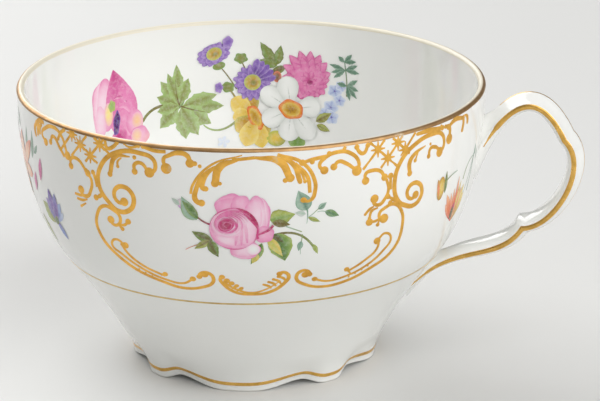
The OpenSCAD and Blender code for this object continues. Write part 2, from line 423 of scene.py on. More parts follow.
def makeFoot():
    edge = foot["edgeRound"]
    heights = [edge + (cup["seam"] - edge) * i / foot["rows"] for i in range(foot["rows"] + 1)]
    side = [flat(baseRadius(z), z) for z in heights]
    heel = arcPoints(flat(baseRadius(edge) - edge, edge), edge, 270, 355, 5)
    toe = arcPoints(flat(foot["bore"] + edge, edge), edge, 180, 270, 4)
    outline = [flat(foot["bore"], cup["seam"])] + toe + heel + side
    bm = spinOutline(outline, foot["steps"], True)
    drawLobes(bm)
    addPiece("cupFoot", bm, porcelain, ["foot"])


makeFoot()

# gold lines round the cup, each a thin band spun from its own section
band = {
    "proud": 0.03,           # above the glaze
    "sunk": 0.1,
    "rimFrom": 8,            # degrees up the round of the lip
    "rimSteps": 16,
    "waver": ((90, 0.09), (400, 0.06)),      # how often and how far the rim's brushed edge wanders
    "waverReach": 0.05,
    "girdleWidth": 0.62,
    "girdleFlat": 0.9,
    "footRise": 1.42,
    "footWidth": 0.85,
    "footSlope": 0.06,
    "footCrown": 1.3,
}


def makeRimGold():
    # over the round of the lip, from a little way up its outer side to the same height within
    outer, inner, start = cup["lip"] + band["proud"], cup["lip"] - band["sunk"], band["rimFrom"]
    outline = arcPoints(lipCentre, outer, start, 180 - start, band["rimSteps"])
    outline += arcPoints(lipCentre, inner, 180 - start, start, band["rimSteps"])
    bm = spinOutline(outline, bowl["steps"], True)
    edge = lipCentre.z + outer * math.sin(math.radians(start)) + band["waverReach"]
    for vert in [v for v in bm.verts if v.co.z < edge * mm]:      # brushed by hand, so the edge wanders
        vert.co.z += sum(noise.noise(vert.co * often) * far for often, far in band["waver"]) * mm
    addPiece("rimGold", bm, rimGilt, ["rim_gilding"])


def makeGirdleGold():
    half = girdleWay * band["girdleWidth"] / 2
    out = flat(girdleWay.z, -girdleWay.x)
    top, deep = half * band["girdleFlat"], out * band["sunk"]
    outline = [girdlePoint - half, girdlePoint - top + out * band["proud"],
               girdlePoint + top + out * band["proud"], girdlePoint + half,
               girdlePoint + half - deep, girdlePoint - half - deep]
    bm = spinOutline(outline, bowl["steps"], True)
    addPiece("girdleGold", bm, girdleGilt, ["girdle_gilding"])


def makeFootGold():
    low, high = band["footRise"], band["footRise"] + band["footWidth"]
    heights = [low, low + band["footSlope"], (low + high) / 2, high - band["footSlope"], high]
    lifts = [0, band["proud"], band["proud"] * band["footCrown"], band["proud"], 0]
    outline = [flat(baseRadius(z) + lift, z) for z, lift in zip(heights, lifts)]
    outline += [flat(baseRadius(high) - band["sunk"], high), flat(baseRadius(low) - band["sunk"], low)]
    bm = spinOutline(outline, foot["steps"], True)
    drawLobes(bm)
    addPiece("footGold", bm, lineGilt, ["foot_gilding"])


makeRimGold()
makeGirdleGold()
makeFootGold()

# handle: a section swept along three curves that break at the knuckle and at the heel
handle = {
    "knuckleOut": 17.0,
    "knuckleDrop": 10.7,
    "heelOut": 8.4,
    "heelRise": 5.5,
    "upperDrop": 17.7,       # where it enters the wall, below the rim and below the girdle
    "lowerDrop": 9.5,
    "upperDeep": 1.7,        # how far inside the wall its line starts and ends
    "lowerDeep": 1.1,
    "upperLeave": (50, 3),   # how its three curves leave and arrive: degrees and strength
    "knuckleArrive": (115, 21),
    "knuckleLeave": (-44, 8),
    "heelArrive": (2, 7),
    "heelLeave": (-123, 10),
    "lowerArrive": (46, 17),
    "halfWidth": 4.2,
    "ridge": 2.15,
    "ridgePull": 0.7,        # what draws the section out between ridge, edge and grip
    "roofPull": (2.6, 0.85),
    "palmPull": (3.6, -1.35),
    "gripPull": 2.0,
    "grip": 1.6,
    "edgeIn": 0.15,          # how far the corners of its edges stand back
    "edgeRound": 0.22,
    "edgeLine": 0.55,        # half the width of the gilt edge
    "ridgeLine": 0.28,
    "ridgeSides": (0.3, 0.09, 0.02),      # how far the fine line's corners lie below its top
    "steps": 40,             # along each curve
    "mitre": 0.8,            # limits how far a break is drawn out
    "sharp": 70,             # degrees at which an edge is left sharp, on the glaze and on the gold
    "goldSharp": 60,
    "rootShare": 0.22,       # share of its length over which it changes towards the wall
    "upperFlare": 0.15,      # thicker above, thinner and narrower below
    "lowerTaper": -0.6,
    "lowerNarrow": -0.3,
    "sunk": 0.7,             # how deep its ends go into the wall
    "fillet": 3.6,           # slip smoothed into the corner
    "filletSpread": 1.9,
    "filletPower": 2.4,
    "goldStart": 11,         # steps from the upper root to where the gilt edge begins
    "brushFirst": 0.4,       # share of the gilt edge's width at its two ends
    "brushLast": 0.5,
    "brushOn": 10,           # how slowly it widens at the first, how fast it narrows at the last
    "brushOff": 8,
    "brushWaver": 0.12,
    "waverStep": 0.13,
    "ridgeStart": 20,        # steps to where the fine line along the back begins
    "ridgeEnd": 8,           # steps it stops short of the lower root
}


def toward(point, degrees, length):
    return point + flat(*pointing(degrees)) * length


def rootAt(height, deep):
    return flat(wallRadius(height) - deep, height)


upperRoot = rootAt(cup["rimTop"] - handle["upperDrop"], handle["upperDeep"])
lowerRoot = rootAt(cup["girdle"] - handle["lowerDrop"], handle["lowerDeep"])
knuckle = flat(cup["rimRadius"] + handle["knuckleOut"], cup["rimTop"] - handle["knuckleDrop"])
heel = flat(cup["rimRadius"] + handle["heelOut"], cup["girdle"] + handle["heelRise"])
handleCurves = [
    [upperRoot, toward(upperRoot, *handle["upperLeave"]),
     toward(knuckle, *handle["knuckleArrive"]), knuckle],
    [knuckle, toward(knuckle, *handle["knuckleLeave"]), toward(heel, *handle["heelArrive"]), heel],
    [heel, toward(heel, *handle["heelLeave"]), toward(lowerRoot, *handle["lowerArrive"]), lowerRoot],
]
handleLine = [upperRoot]
for curve in handleCurves:
    handleLine += curvePoints(*curve, handle["steps"])[1:]


def rootEase(stations):
    share = stations / ((len(handleLine) - 1) * handle["rootShare"])
    return (1 - share) ** 2 if share < 1 else 0


def stationMatrix(i, thin):
    # across, out and along as columns, swelling into the wall above and thinning out below
    last = len(handleLine) - 1
    along = wayAlong(handleLine, i)
    before = handleLine[i] - handleLine[max(i - 1, 0)]
    mitre = 1 / max(handle["mitre"], along.dot(before.normalized())) if before.length > 0 else 1
    swell = (1 + handle["upperFlare"] * rootEase(i) + handle["lowerTaper"] * rootEase(last - i)) * mitre
    narrow = 1 + handle["lowerNarrow"] * rootEase(last - i)
    columns = [Vector((0, narrow, 0)), flat(-along.z, along.x) * swell * thin(i), along]
    turn = Matrix([[columns[c][r] for c in range(3)] for r in range(3)]).to_4x4()
    return Matrix.Translation(handleLine[i] * mm) @ turn


def gapToWall(place):
    # mm from the axis, and how many of them lie outside the wall
    reach = math.hypot(place.x, place.y) / mm
    height = min(max(place.z / mm, 0), cup["rimTop"] - 1)
    return reach, reach - wallRadius(height)


def settleOnWall(bm):
    # keep the ends inside the wall's thickness, and spread what comes close to it into a fillet
    for vert in bm.verts:
        reach, gap = gapToWall(vert.co)
        if gap < handle["fillet"]:
            middle = min(handleLine, key=lambda p: (p * mm - vert.co).length_squared) * mm
            away = vert.co - middle
            away.x = 0
            share = 1 - max(gap, 0) / handle["fillet"]
            if away.length > 0:
                vert.co += away.normalized() * handle["filletSpread"] * share ** handle["filletPower"] * mm
            reach, gap = gapToWall(vert.co)
        if gap < -handle["sunk"]:
            inward = (reach - gap - handle["sunk"]) / reach
            vert.co.x *= inward
            vert.co.y *= inward


def fullWidth(i):
    return 1


def brushWidth(i):
    # the gilder's brush starts and ends thin, and wavers a little
    ends = (len(handleLine) - 1 - i) / len(handleLine)
    first = handle["brushFirst"] + (i - handle["goldStart"]) / handle["brushOn"]
    last = handle["brushLast"] + ends * handle["brushOff"]
    waver = noise.noise(Vector((i * handle["waverStep"], 0, 0)))
    return min(1, first, last) * (1 + handle["brushWaver"] * waver)


def sweepSection(section, thin=fullWidth, first=0, short=0):
    bm = bmesh.new()
    verts = [bm.verts.new(Vector((x, y, 0)) * mm) for x, y in section]
    ring = [bm.edges.new(pair) for pair in zip(verts, verts[1:] + verts[:1])]
    bmesh.ops.transform(bm, matrix=stationMatrix(first, thin), verts=verts)
    bmesh.ops.contextual_create(bm, geom=ring)
    for i in range(first + 1, len(handleLine) - short):
        grown = bmesh.ops.extrude_edge_only(bm, edges=ring)["geom"]
        verts = {g for g in grown if isinstance(g, bmesh.types.BMVert)}
        ring = [g for g in grown if isinstance(g, bmesh.types.BMEdge) and set(g.verts) <= verts]
        step = stationMatrix(i, thin) @ stationMatrix(i - 1, thin).inverted()
        bmesh.ops.transform(bm, matrix=step, verts=list(verts))
    bmesh.ops.contextual_create(bm, geom=ring)
    settleOnWall(bm)
    bmesh.ops.recalc_face_normals(bm, faces=bm.faces)
    return bm


def sectionCurve(start, startPull, endPull, end, count):
    knots = [Vector((*knot, 0)) for knot in (start, startPull, endPull, end)]
    return [(p.x, p.y) for p in curvePoints(*knots, count)][:-1]


def halfSection():
    # from the ridge down the roof, round the gilt edge and under the grip
    edge, line = handle["halfWidth"] - handle["edgeIn"], handle["edgeLine"]
    over = edge + handle["edgeRound"]
    top, bottom = handle["ridge"], -handle["grip"]
    roof = sectionCurve((0, top), (handle["ridgePull"], top), handle["roofPull"], (edge, line), 10)
    side = sectionCurve((edge, line), (over, line * 0.8), (over, -line * 0.8), (edge, -line), 6)
    palm = sectionCurve((edge, -line), handle["palmPull"], (handle["gripPull"], bottom), (0, bottom), 9)
    return roof, side, palm


def mirrored(points):
    return [(-x, y) for x, y in reversed(points)]


def makeHandle():
    roof, side, palm = halfSection()
    right = roof + side + palm + [(0, -handle["grip"])]
    bm = sweepSection(right + mirrored(right[1:-1]))
    addPiece("cupHandle", bm, porcelain, ["handle"], handle["sharp"])


def makeHandleGold():
    roof, side, palm = halfSection()
    skin = [(x + band["proud"], y) for x, y in side + [palm[0]]]
    line = skin + [(x - band["sunk"] - band["proud"], y * 0.9) for x, y in reversed(skin)]
    both = sweepSection(line, brushWidth, handle["goldStart"])
    other = sweepSection(mirrored(line), brushWidth, handle["goldStart"])
    spare = bpy.data.meshes.new("spare")
    other.to_mesh(spare)
    other.free()
    both.from_mesh(spare)
    bpy.data.meshes.remove(spare)
    addPiece("handleEdgeGold", both, lineGilt, ["handle_edge_gilding"], handle["goldSharp"])
    half, top = handle["ridgeLine"], handle["ridge"] + band["proud"]
    bottom, side, shoulder = [top - drop for drop in handle["ridgeSides"]]
    right = [(half, bottom), (half, side), (half * 0.5, shoulder)]
    ridge = right + [(0, top)] + mirrored(right)
    bm = sweepSection(ridge, first=handle["ridgeStart"], short=handle["ridgeEnd"])
    addPiece("handleRidgeGold", bm, lineGilt, ["handle_ridge_gilding"], handle["goldSharp"])


makeHandle()
makeHandleGold()

# painted ornament is laid out flat in mm (across, up the wall from the girdle) and then bent round the wall
brushes = {
    # half width where a stroke starts, along its middle and where it ends
    "hair": (0.12, 0.24, 0.24),
    "fine": (0.26, 0.27, 0.26),
    "feather": (0.16, 0.30, 0.26),
    "line": (0.30, 0.37, 0.32),
    "tail": (0.30, 0.42, 0.18),
    "bold": (0.34, 0.48, 0.36),
    "leaf": (0.12, 0.48, 0.44),
    "broad": (0.26, 0.70, 0.64),
}
bare = (0, 0, 0)


def ball(size):
    return size, 0, 0


def curled(size, radius, turn):
    # the end runs on round a spiral, to the left where turn is positive, into its ball
    return size, radius, turn


# each stroke: brush, the points its line passes, what ends it at the first point and at the last
crest = [
    ("line", [(0.5, 36), (-4, 35.5)], bare, bare),
    ("hair", [(-2, 36.5), (-8, 34.5), (-12, 30), (-12.5, 28)], bare, bare),
    ("leaf", [(-4, 35.5), (-9.5, 32.5), (-11.5, 28.5)], bare, curled(0.65, 2.2, 130)),
    ("leaf", [(-5, 35), (-8.5, 33), (-10, 30.5)], bare, curled(0.5, 1.1, 140)),
    ("broad", [(-3, 35.5), (-6.5, 34), (-7.5, 30.5)], bare, ball(0.7)),
    ("line", [(-7.5, 31), (-6.5, 30.5)], bare, ball(0.35)),
    ("broad", [(0.5, 36), (5.5, 35), (7.5, 31.5)], bare, ball(0.8)),
    ("line", [(7.5, 31.5), (6.5, 31)], bare, ball(0.45)),
    ("leaf", [(4.5, 36), (8, 34.5), (9.5, 30.5)], bare, ball(0.4)),
    ("hair", [(6.5, 35.5), (9.5, 33), (10.5, 30.5)], bare, ball(0.35)),
    ("line", [(8.5, 34.5), (11, 31.5), (11.5, 28)], bare, bare),
    ("line", [(5, 36.5), (10, 34.5), (12.5, 30.5), (12.5, 28)], bare, curled(0.6, 2.2, -140)),
    ("line", [(10, 34.5), (12, 35), (15.5, 35.5)], ball(0.6), bare),
]
leftScrolls = [
    # the tall C at the corner, from its curl under the rim down into the big volute
    ("bold", [(-22.5, 35.5), (-28.5, 35), (-33, 31), (-33.5, 27), (-31, 23.5)],
     curled(0.95, 2.9, -190), curled(0.85, 3.7, 460)),
    ("line", [(-21.5, 32), (-23, 33.5), (-24.5, 33), (-24.5, 31.5)], bare, ball(0.6)),
    ("leaf", [(-25.5, 34.5), (-29, 34), (-30.5, 30)], bare, ball(0.55)),
    ("hair", [(-27.5, 34), (-28.5, 33), (-28.5, 32)], bare, ball(0.35)),
    ("line", [(-16.5, 36), (-18, 35), (-17.5, 33)], bare, ball(1)),
    ("bold", [(-17.5, 35.5), (-15, 36.5), (-13, 36), (-12.5, 34.5)], bare, ball(0.8)),
    ("line", [(-22.5, 37), (-20, 36.5), (-17.5, 36.5)], ball(0.4), bare),
    ("line", [(-31.5, 37), (-31, 35.5), (-29.5, 36), (-28.5, 37)], bare, ball(0.4)),
    ("hair", [(-27, 37), (-25.5, 36.5), (-23.5, 37)], bare, ball(0.35)),
    # leaf and double hook at the far end
    ("bold", [(-51, 36.5), (-53, 36.5), (-55, 35.5)], bare, bare),
    ("bold", [(-54.5, 35.5), (-55.5, 34.5), (-55, 32.5)], bare, bare),
    ("bold", [(-53.5, 36), (-54, 34.5), (-54, 33)], bare, bare),
    ("bold", [(-52, 36), (-53, 35), (-53, 33.5)], bare, bare),
    ("line", [(-50.5, 32.5), (-52, 34), (-50.5, 35.5), (-47.5, 36.5), (-44.5, 35.5), (-42.5, 31.5)],
     ball(0.75), ball(0.85)),
    ("line", [(-48.5, 33), (-47.5, 34.5), (-45, 32.5), (-43.5, 31)], ball(0.55), bare),
    ("line", [(-45.5, 34.5), (-44.5, 36), (-43, 37)], ball(0.4), bare),
    ("line", [(-41.5, 29.5), (-41.5, 31), (-39.5, 31.5), (-37, 29.5)], ball(0.65), ball(0.5)),
    ("line", [(-36.5, 29), (-35.5, 27.5), (-36, 25)], ball(0.7), curled(0.8, 2, -190)),
    ("line", [(-35, 29.5), (-34.5, 28.5), (-34, 26.5)], ball(0.5), bare),
    ("feather", [(-37, 24), (-39, 23.5), (-40.5, 23.5)], bare, ball(0.3)),
    ("feather", [(-37, 23), (-38.5, 22.5), (-40, 22.5)], bare, ball(0.25)),
    ("feather", [(-37.5, 22), (-39, 21)], bare, ball(0.3)),
    ("tail", [(-32.5, 25.5), (-33.5, 24.5), (-34.5, 24)], bare, ball(0.6)),
    # side arc from its upper volute round to the one below, then the line inside it
    ("line", [(-30, 22), (-32.5, 22.5), (-34.5, 20), (-34.5, 16.5), (-28.5, 10), (-18.5, 5.5), (-14, 4.5),
              (-10, 5.5)], curled(0.8, 2.2, -270), curled(0.55, 2.6, 270)),
    ("feather", [(-29, 19), (-27.5, 19), (-26.5, 20)], bare, ball(0.6)),
    ("feather", [(-29, 19), (-28.5, 18.5), (-28, 18)], bare, ball(0.45)),
    ("fine", [(-27.5, 14), (-30, 15), (-31, 13.5), (-28.5, 11.5), (-23.5, 8.5), (-18.5, 6.5), (-14.5, 6),
              (-12.5, 7.5)], ball(0.7), ball(0.6)),
    ("fine", [(-28.5, 14), (-27, 12), (-23.5, 9.5), (-18.5, 7.5)], ball(0.3), bare),
    ("feather", [(-19.5, 7.5), (-18.5, 8)], bare, ball(0.55)),
]
rightScrolls = [
    ("line", [(14.5, 32.5), (13.5, 33.5), (14.5, 35), (17, 36), (20, 35.5), (22, 33), (21.5, 31.5)],
     ball(0.75), ball(0.95)),
    ("line", [(16.5, 33), (17.5, 34), (19, 33.5), (21, 32)], ball(0.65), bare),
    ("line", [(19, 37), (18.5, 36)], bare, bare),
    ("line", [(21.5, 36.5), (22, 35.5), (23, 35), (24, 36.5)], ball(0.5), ball(0.5)),
    ("line", [(23.5, 29), (23.5, 30.5), (25, 31), (27, 30.5), (28, 29)], ball(0.75), ball(0.7)),
    ("line", [(28.5, 28.5), (29, 26), (28, 24)], bare, curled(0.85, 1.8, -200)),
    ("line", [(29.5, 29), (29.5, 26)], ball(0.6), bare),
    # the corner volute turns outward on this side
    ("bold", [(33.5, 21.5), (31.5, 23), (30.5, 27), (32, 31.5), (36, 34.5), (41.5, 35.5)],
     curled(0.8, 3.2, 460), curled(0.95, 3.6, -190)),
    ("line", [(43.5, 31.5), (42, 32.5), (40.5, 32.5), (40, 31)], bare, ball(0.5)),
    ("leaf", [(39, 33.5), (36, 32.5), (34.5, 31), (34.5, 28.5)], bare, ball(0.6)),
    ("hair", [(37, 33), (36, 31)], bare, ball(0.4)),
    ("bold", [(45.5, 36), (47, 35.5), (47, 33)], ball(0.4), ball(1)),
    ("bold", [(46.5, 35.5), (49, 36.5), (53, 36)], ball(0.4), ball(0.5)),
    ("leaf", [(52, 36.5), (53, 35.5), (52.5, 33.5)], bare, ball(0.5)),
    ("leaf", [(53.5, 36.5), (55, 35.5), (55, 34.5)], bare, ball(0.4)),
    ("bold", [(36.5, 36.5), (40, 36.5), (44.5, 36)], ball(0.3), ball(0.5)),
    ("tail", [(31.5, 23), (30.5, 23.5), (29, 24.5)], bare, ball(0.5)),
    ("tail", [(32.5, 22), (29.5, 23)], bare, ball(0.5)),
    # side arc and the line inside it
    ("line", [(28, 22), (30.5, 22.5), (32.5, 20.5), (33, 17.5), (31, 11.5), (24, 7), (19, 5), (13.5, 4.5),
              (10, 6)], curled(0.95, 1.7, 200), curled(0.55, 2.4, -260)),
    ("feather", [(27, 20), (26, 19.5), (24.5, 19.5)], bare, ball(0.75)),
    ("feather", [(26.5, 22.5), (25, 22), (24.5, 20.5)], bare, ball(0.35)),
    ("feather", [(25.5, 23), (24.5, 22.5), (23.5, 21.5)], bare, ball(0.3)),
    ("feather", [(27, 20), (26.5, 18.5)], bare, ball(0.4)),
    ("fine", [(26.5, 14.5), (28.5, 16), (30, 14.5), (28, 11.5), (24, 8.5), (19, 6.5), (15, 6), (12.5, 7)],
     ball(0.75), ball(0.55)),
    ("fine", [(27, 15), (26.5, 12.5), (23.5, 10), (20, 8)], ball(0.3), bare),
    ("feather", [(20.5, 7), (19.5, 8.5)], bare, ball(0.55)),
]
bottomScrolls = [
    ("line", [(-6.5, 7), (-3.5, 4), (-0.5, 3.5), (3, 4), (6.5, 7)],
     curled(0.55, 1.4, -110), curled(0.55, 1.9, 200)),
    ("hair", [(5, 7), (2.5, 5), (-0.5, 4), (-3.5, 5), (-6, 7)], bare, bare),
]
for i in range(4):  # short feathers stand along both shoulders, smaller toward the middle
    bottomScrolls += [
        ("leaf", [(-6.5 + i, 6.5 - 0.7 * i), (-5.5 + i, 7.5 - 0.7 * i)], bare, ball(0.6 - 0.08 * i)),
        ("feather", [(6.5 - i, 7 - 0.6 * i), (6 - i, 8 - 0.7 * i), (5 - i, 8.5 - 0.7 * i)],
         bare, ball(0.35 - 0.03 * i)),
    ]
looseDots = [
    (-24.5, 34.5, 0.4), (-11.5, 34.5, 0.45), (-10.5, 34, 0.35), (-46.5, 36.5, 0.4), (-10, 9, 0.7),
    (10.5, 8.5, 0.7), (12, 34.5, 0.45), (15.5, 36, 0.4), (40.5, 33.5, 0.3), (44, 36.5, 0.3),
]
for i in range(4):  # fine beads between the double lines of the side arcs
    looseDots += [(side * (20 + 1.5 * i), 6.2 + 0.7 * i, 0.2) for side in (-1, 1)]
# lattice under the rim: where each line leaves the rim and how far it runs; stars sit on the crossings
lattices = [
    {"fallAngle": -34, "riseAngle": 228, "falling": [(-41.5, 9.5), (-34.5, 5)],
     "rising": [(-40.5, 6), (-36.5, 7), (-32, 7.5)]},
    {"fallAngle": -43, "riseAngle": 227, "falling": [(24.5, 9), (30, 6)],
     "rising": [(28, 7.5), (32.5, 8), (36, 5)]},
]
ornament = {
    "clear": 0.012,          # above the glaze
    "relief": 0.11,          # how much of a stroke's own thickness stands up
    "under": 0.05,           # and what is kept of its underside
    "highest": 0.09,
    "topArc": 37.2,          # nothing is painted above this, along the wall
    "boldness": 1.16,        # thickens every stroke and ball
    "tighten": 0.7,          # how much of its radius a curl loses on the way in
    "curlStep": 45,          # degrees
    "rimArc": 37,            # where the lattice meets the rim, along the wall
    "lattice": 0.26,         # half width of the lattice lines
    "starArm": 1.7,
    "starHeart": 0.7,
    "starBrush": (0.12, 0.36, 0.12),
    "bendSteps": 6,
    "ballSteps": 8,
}


def curlRound(points, radius, turn):
    line = list(points)
    if not radius:
        return line
    (fromX, fromY), (x, y) = line[-2:]
    heading = math.atan2(y - fromY, x - fromX)
    steps = max(2, round(abs(turn) / ornament["curlStep"]))
    bend = math.radians(turn) / steps
    for i in range(steps):
        tight = radius * (1 - ornament["tighten"] * (i + 0.5) / steps)
        length = 2 * tight * math.sin(abs(bend) / 2)
        x += length * math.cos(heading + bend / 2)
        y += length * math.sin(heading + bend / 2)
        heading += bend
        line.append((x, y))
    return line


def addStroke(curve, points, start, middle, end):
    spline = curve.splines.new("BEZIER")
    spline.bezier_points.add(len(points) - 1)
    spline.resolution_u = ornament["bendSteps"] if len(points) > 2 else 2
    for i, (knot, point) in enumerate(zip(spline.bezier_points, points)):
        share = i / (len(points) - 1)
        knot.co = (*point, 0)
        knot.handle_left_type = knot.handle_right_type = "AUTO"
        ends = start + (end - start) * share
        belly = (middle - (start + end) / 2) * math.sin(math.pi * share)
        knot.radius = (ends + belly) * ornament["boldness"]


def addBall(curve, x, y, size):
    # a bead of gold: a short fat stroke with a round outline, cut just before it thins to nothing
    size *= ornament["boldness"]
    spline = curve.splines.new("POLY")
    spline.points.add(ornament["ballSteps"])
    for i, knot in enumerate(spline.points):
        angle = math.pi * (0.03 + 0.94 * i / ornament["ballSteps"])
        knot.co = (x - size * math.cos(angle), y, 0, 1)
        knot.radius = size * math.sin(angle)


def addStar(curve, place):
    addBall(curve, *place, ornament["starHeart"])
    for degrees in (0, 45, 90, 135):
        arm = pointing(degrees) * ornament["starArm"]
        addStroke(curve, [place - arm, place, place + arm], *ornament["starBrush"])


def latticeLines(degrees, starts):
    tops = [(Vector((x, ornament["rimArc"])), run) for x, run in starts]
    return [(top, top + pointing(degrees) * run) for top, run in tops]


def addLattice(curve, lattice):
    falling = latticeLines(lattice["fallAngle"], lattice["falling"])
    rising = latticeLines(lattice["riseAngle"], lattice["rising"])
    for line in falling + rising:
        addStroke(curve, line, *[ornament["lattice"]] * 3)
    for one in falling:
        for other in rising:
            crossing = intersect_line_line_2d(*one, *other)
            if crossing:
                addStar(curve, crossing)


def flatStrokes():
    curve = bpy.data.curves.new("scrolls", "CURVE")
    curve.dimensions = "3D"
    curve.bevel_depth = 1
    curve.bevel_resolution = 1
    curve.use_fill_caps = True
    for brush, points, first, last in crest + leftScrolls + rightScrolls + bottomScrolls:
        line = curlRound(points, *last[1:])
        line = curlRound(line[::-1], *first[1:])[::-1]
        addStroke(curve, line, *brushes[brush])
        for place, size in ((line[0], first[0]), (line[-1], last[0])):
            if size > 0:
                addBall(curve, *place, size)
    for x, y, size in looseDots:
        addBall(curve, x, y, size)
    for lattice in lattices:
        addLattice(curve, lattice)
    return curve


def makeScrolls():
    curve = flatStrokes()
    drawn = bpy.data.objects.new("scrolls", curve)
    scene.collection.objects.link(drawn)
    bpy.context.view_layer.update()
    sheet = bpy.data.meshes.new_from_object(drawn.evaluated_get(bpy.context.evaluated_depsgraph_get()))
    bpy.data.objects.remove(drawn)
    for name, centre in (("frontScrolls", cup["frontTurn"]), ("backScrolls", cup["frontTurn"] + 180)):
        bm = bmesh.new()
        bm.from_mesh(sheet)
        bmesh.ops.remove_doubles(bm, verts=bm.verts, dist=1e-6)
        for vert in bm.verts:
            lift = ornament["clear"] + max(vert.co.z, -ornament["under"]) * ornament["relief"]
            arc = min(vert.co.y, ornament["topArc"])
            vert.co = onWall(outsideWall, centre, vert.co.x, arc, min(lift, ornament["highest"]))
        bmesh.ops.recalc_face_normals(bm, faces=bm.faces)
        addPiece(name, bm, scrollGilt)
    bpy.data.meshes.remove(sheet)


makeScrolls()

# enamel flowers: small patches with their own colours, laid over one another like brush strokes
flowers = {
    "seed": 11,
    "clear": 0.014,          # mm above the glaze
    "step": 0.003,           # each patch above the one before
    "frontTulip": 50.5,      # mm round the wall from the middle of the frame
    "backTulip": -61,
    "sidePosy": -66,
    "roseLift": 0.11,        # clear of its leaves
    "bloomLift": 0.12,       # clear of the leaves inside the bowl
    "narcissusLift": 0.28,   # clear of the other blooms
    "stemSteps": 16,
    "leafSteps": (8, 12),
    "crescentSteps": (4, 14),
}
brushwork = {
    "thinnest": 0.02,        # half width that a petal keeps at its ends
    "thinLeaf": 0.03,
    "streak": 0.10,          # how strong the streaks of a petal are, and how close together
    "streaks": 7,
    "vein": 0.10,            # the same for the veins of a leaf
    "veins": 20,
    "teeth": 26,             # how close together they are along a leaf's edge
    "ruffles": 5,            # waves round a spot
    "heart": 2.2,            # the higher these three are, the nearer to the edge its tint begins
    "petalEdge": 2.5,
    "leafEdge": 4,
    "edgeTint": 0.7,         # how strong the tint of a petal's or a leaf's edge gets
}
chance = random.Random(flowers["seed"])


def colour(red, green, blue):
    # a colour as screens count it, turned into amounts of light
    return tuple(((c / 255 + 0.055) / 1.055) ** 2.4 for c in (red, green, blue))


palette = {
    "rosePale": colour(247, 216, 230), "rosePink": colour(233, 140, 188), "roseDeep": colour(212, 72, 136),
    "crimson": colour(178, 34, 92), "blush": colour(243, 182, 211),
    "leafLight": colour(186, 196, 100), "leaf": colour(122, 158, 80), "leafDark": colour(78, 112, 54),
    "teal": colour(112, 152, 128), "tealPale": colour(170, 196, 176), "twig": colour(110, 84, 44),
    "stalk": colour(140, 158, 86), "violet": colour(122, 84, 172), "violetPale": colour(178, 148, 208),
    "violetDark": colour(90, 54, 138), "yellow": colour(230, 198, 92), "yellowPale": colour(248, 228, 140),
    "ochre": colour(190, 142, 40), "orange": colour(228, 106, 40),
    "white": colour(242, 243, 240), "whiteShade": colour(206, 210, 204),
    "magenta": colour(200, 58, 136), "magentaPale": colour(226, 126, 178),
    "magentaDark": colour(150, 28, 96),
    "blue": colour(128, 146, 206), "bluePale": colour(178, 192, 228), "peach": colour(248, 206, 160),
    "plum": colour(86, 30, 76), "salmon": colour(236, 128, 96), "olive": colour(132, 134, 62),
    "leafPale": colour(164, 190, 116), "tealDark": colour(84, 124, 100), "whiteBlue": colour(222, 230, 244),
    "whiteDeep": colour(176, 182, 178),
}


def blend(first, second, share):
    share = min(max(share, 0), 1)
    return tuple(a + (b - a) * share for a, b in zip(first, second))


def besideLine(x, y, angle, out, side):
    # out along a line from x, y, and side to the left of it
    return (x + out * math.cos(angle) - side * math.sin(angle),
            y + out * math.sin(angle) + side * math.cos(angle))


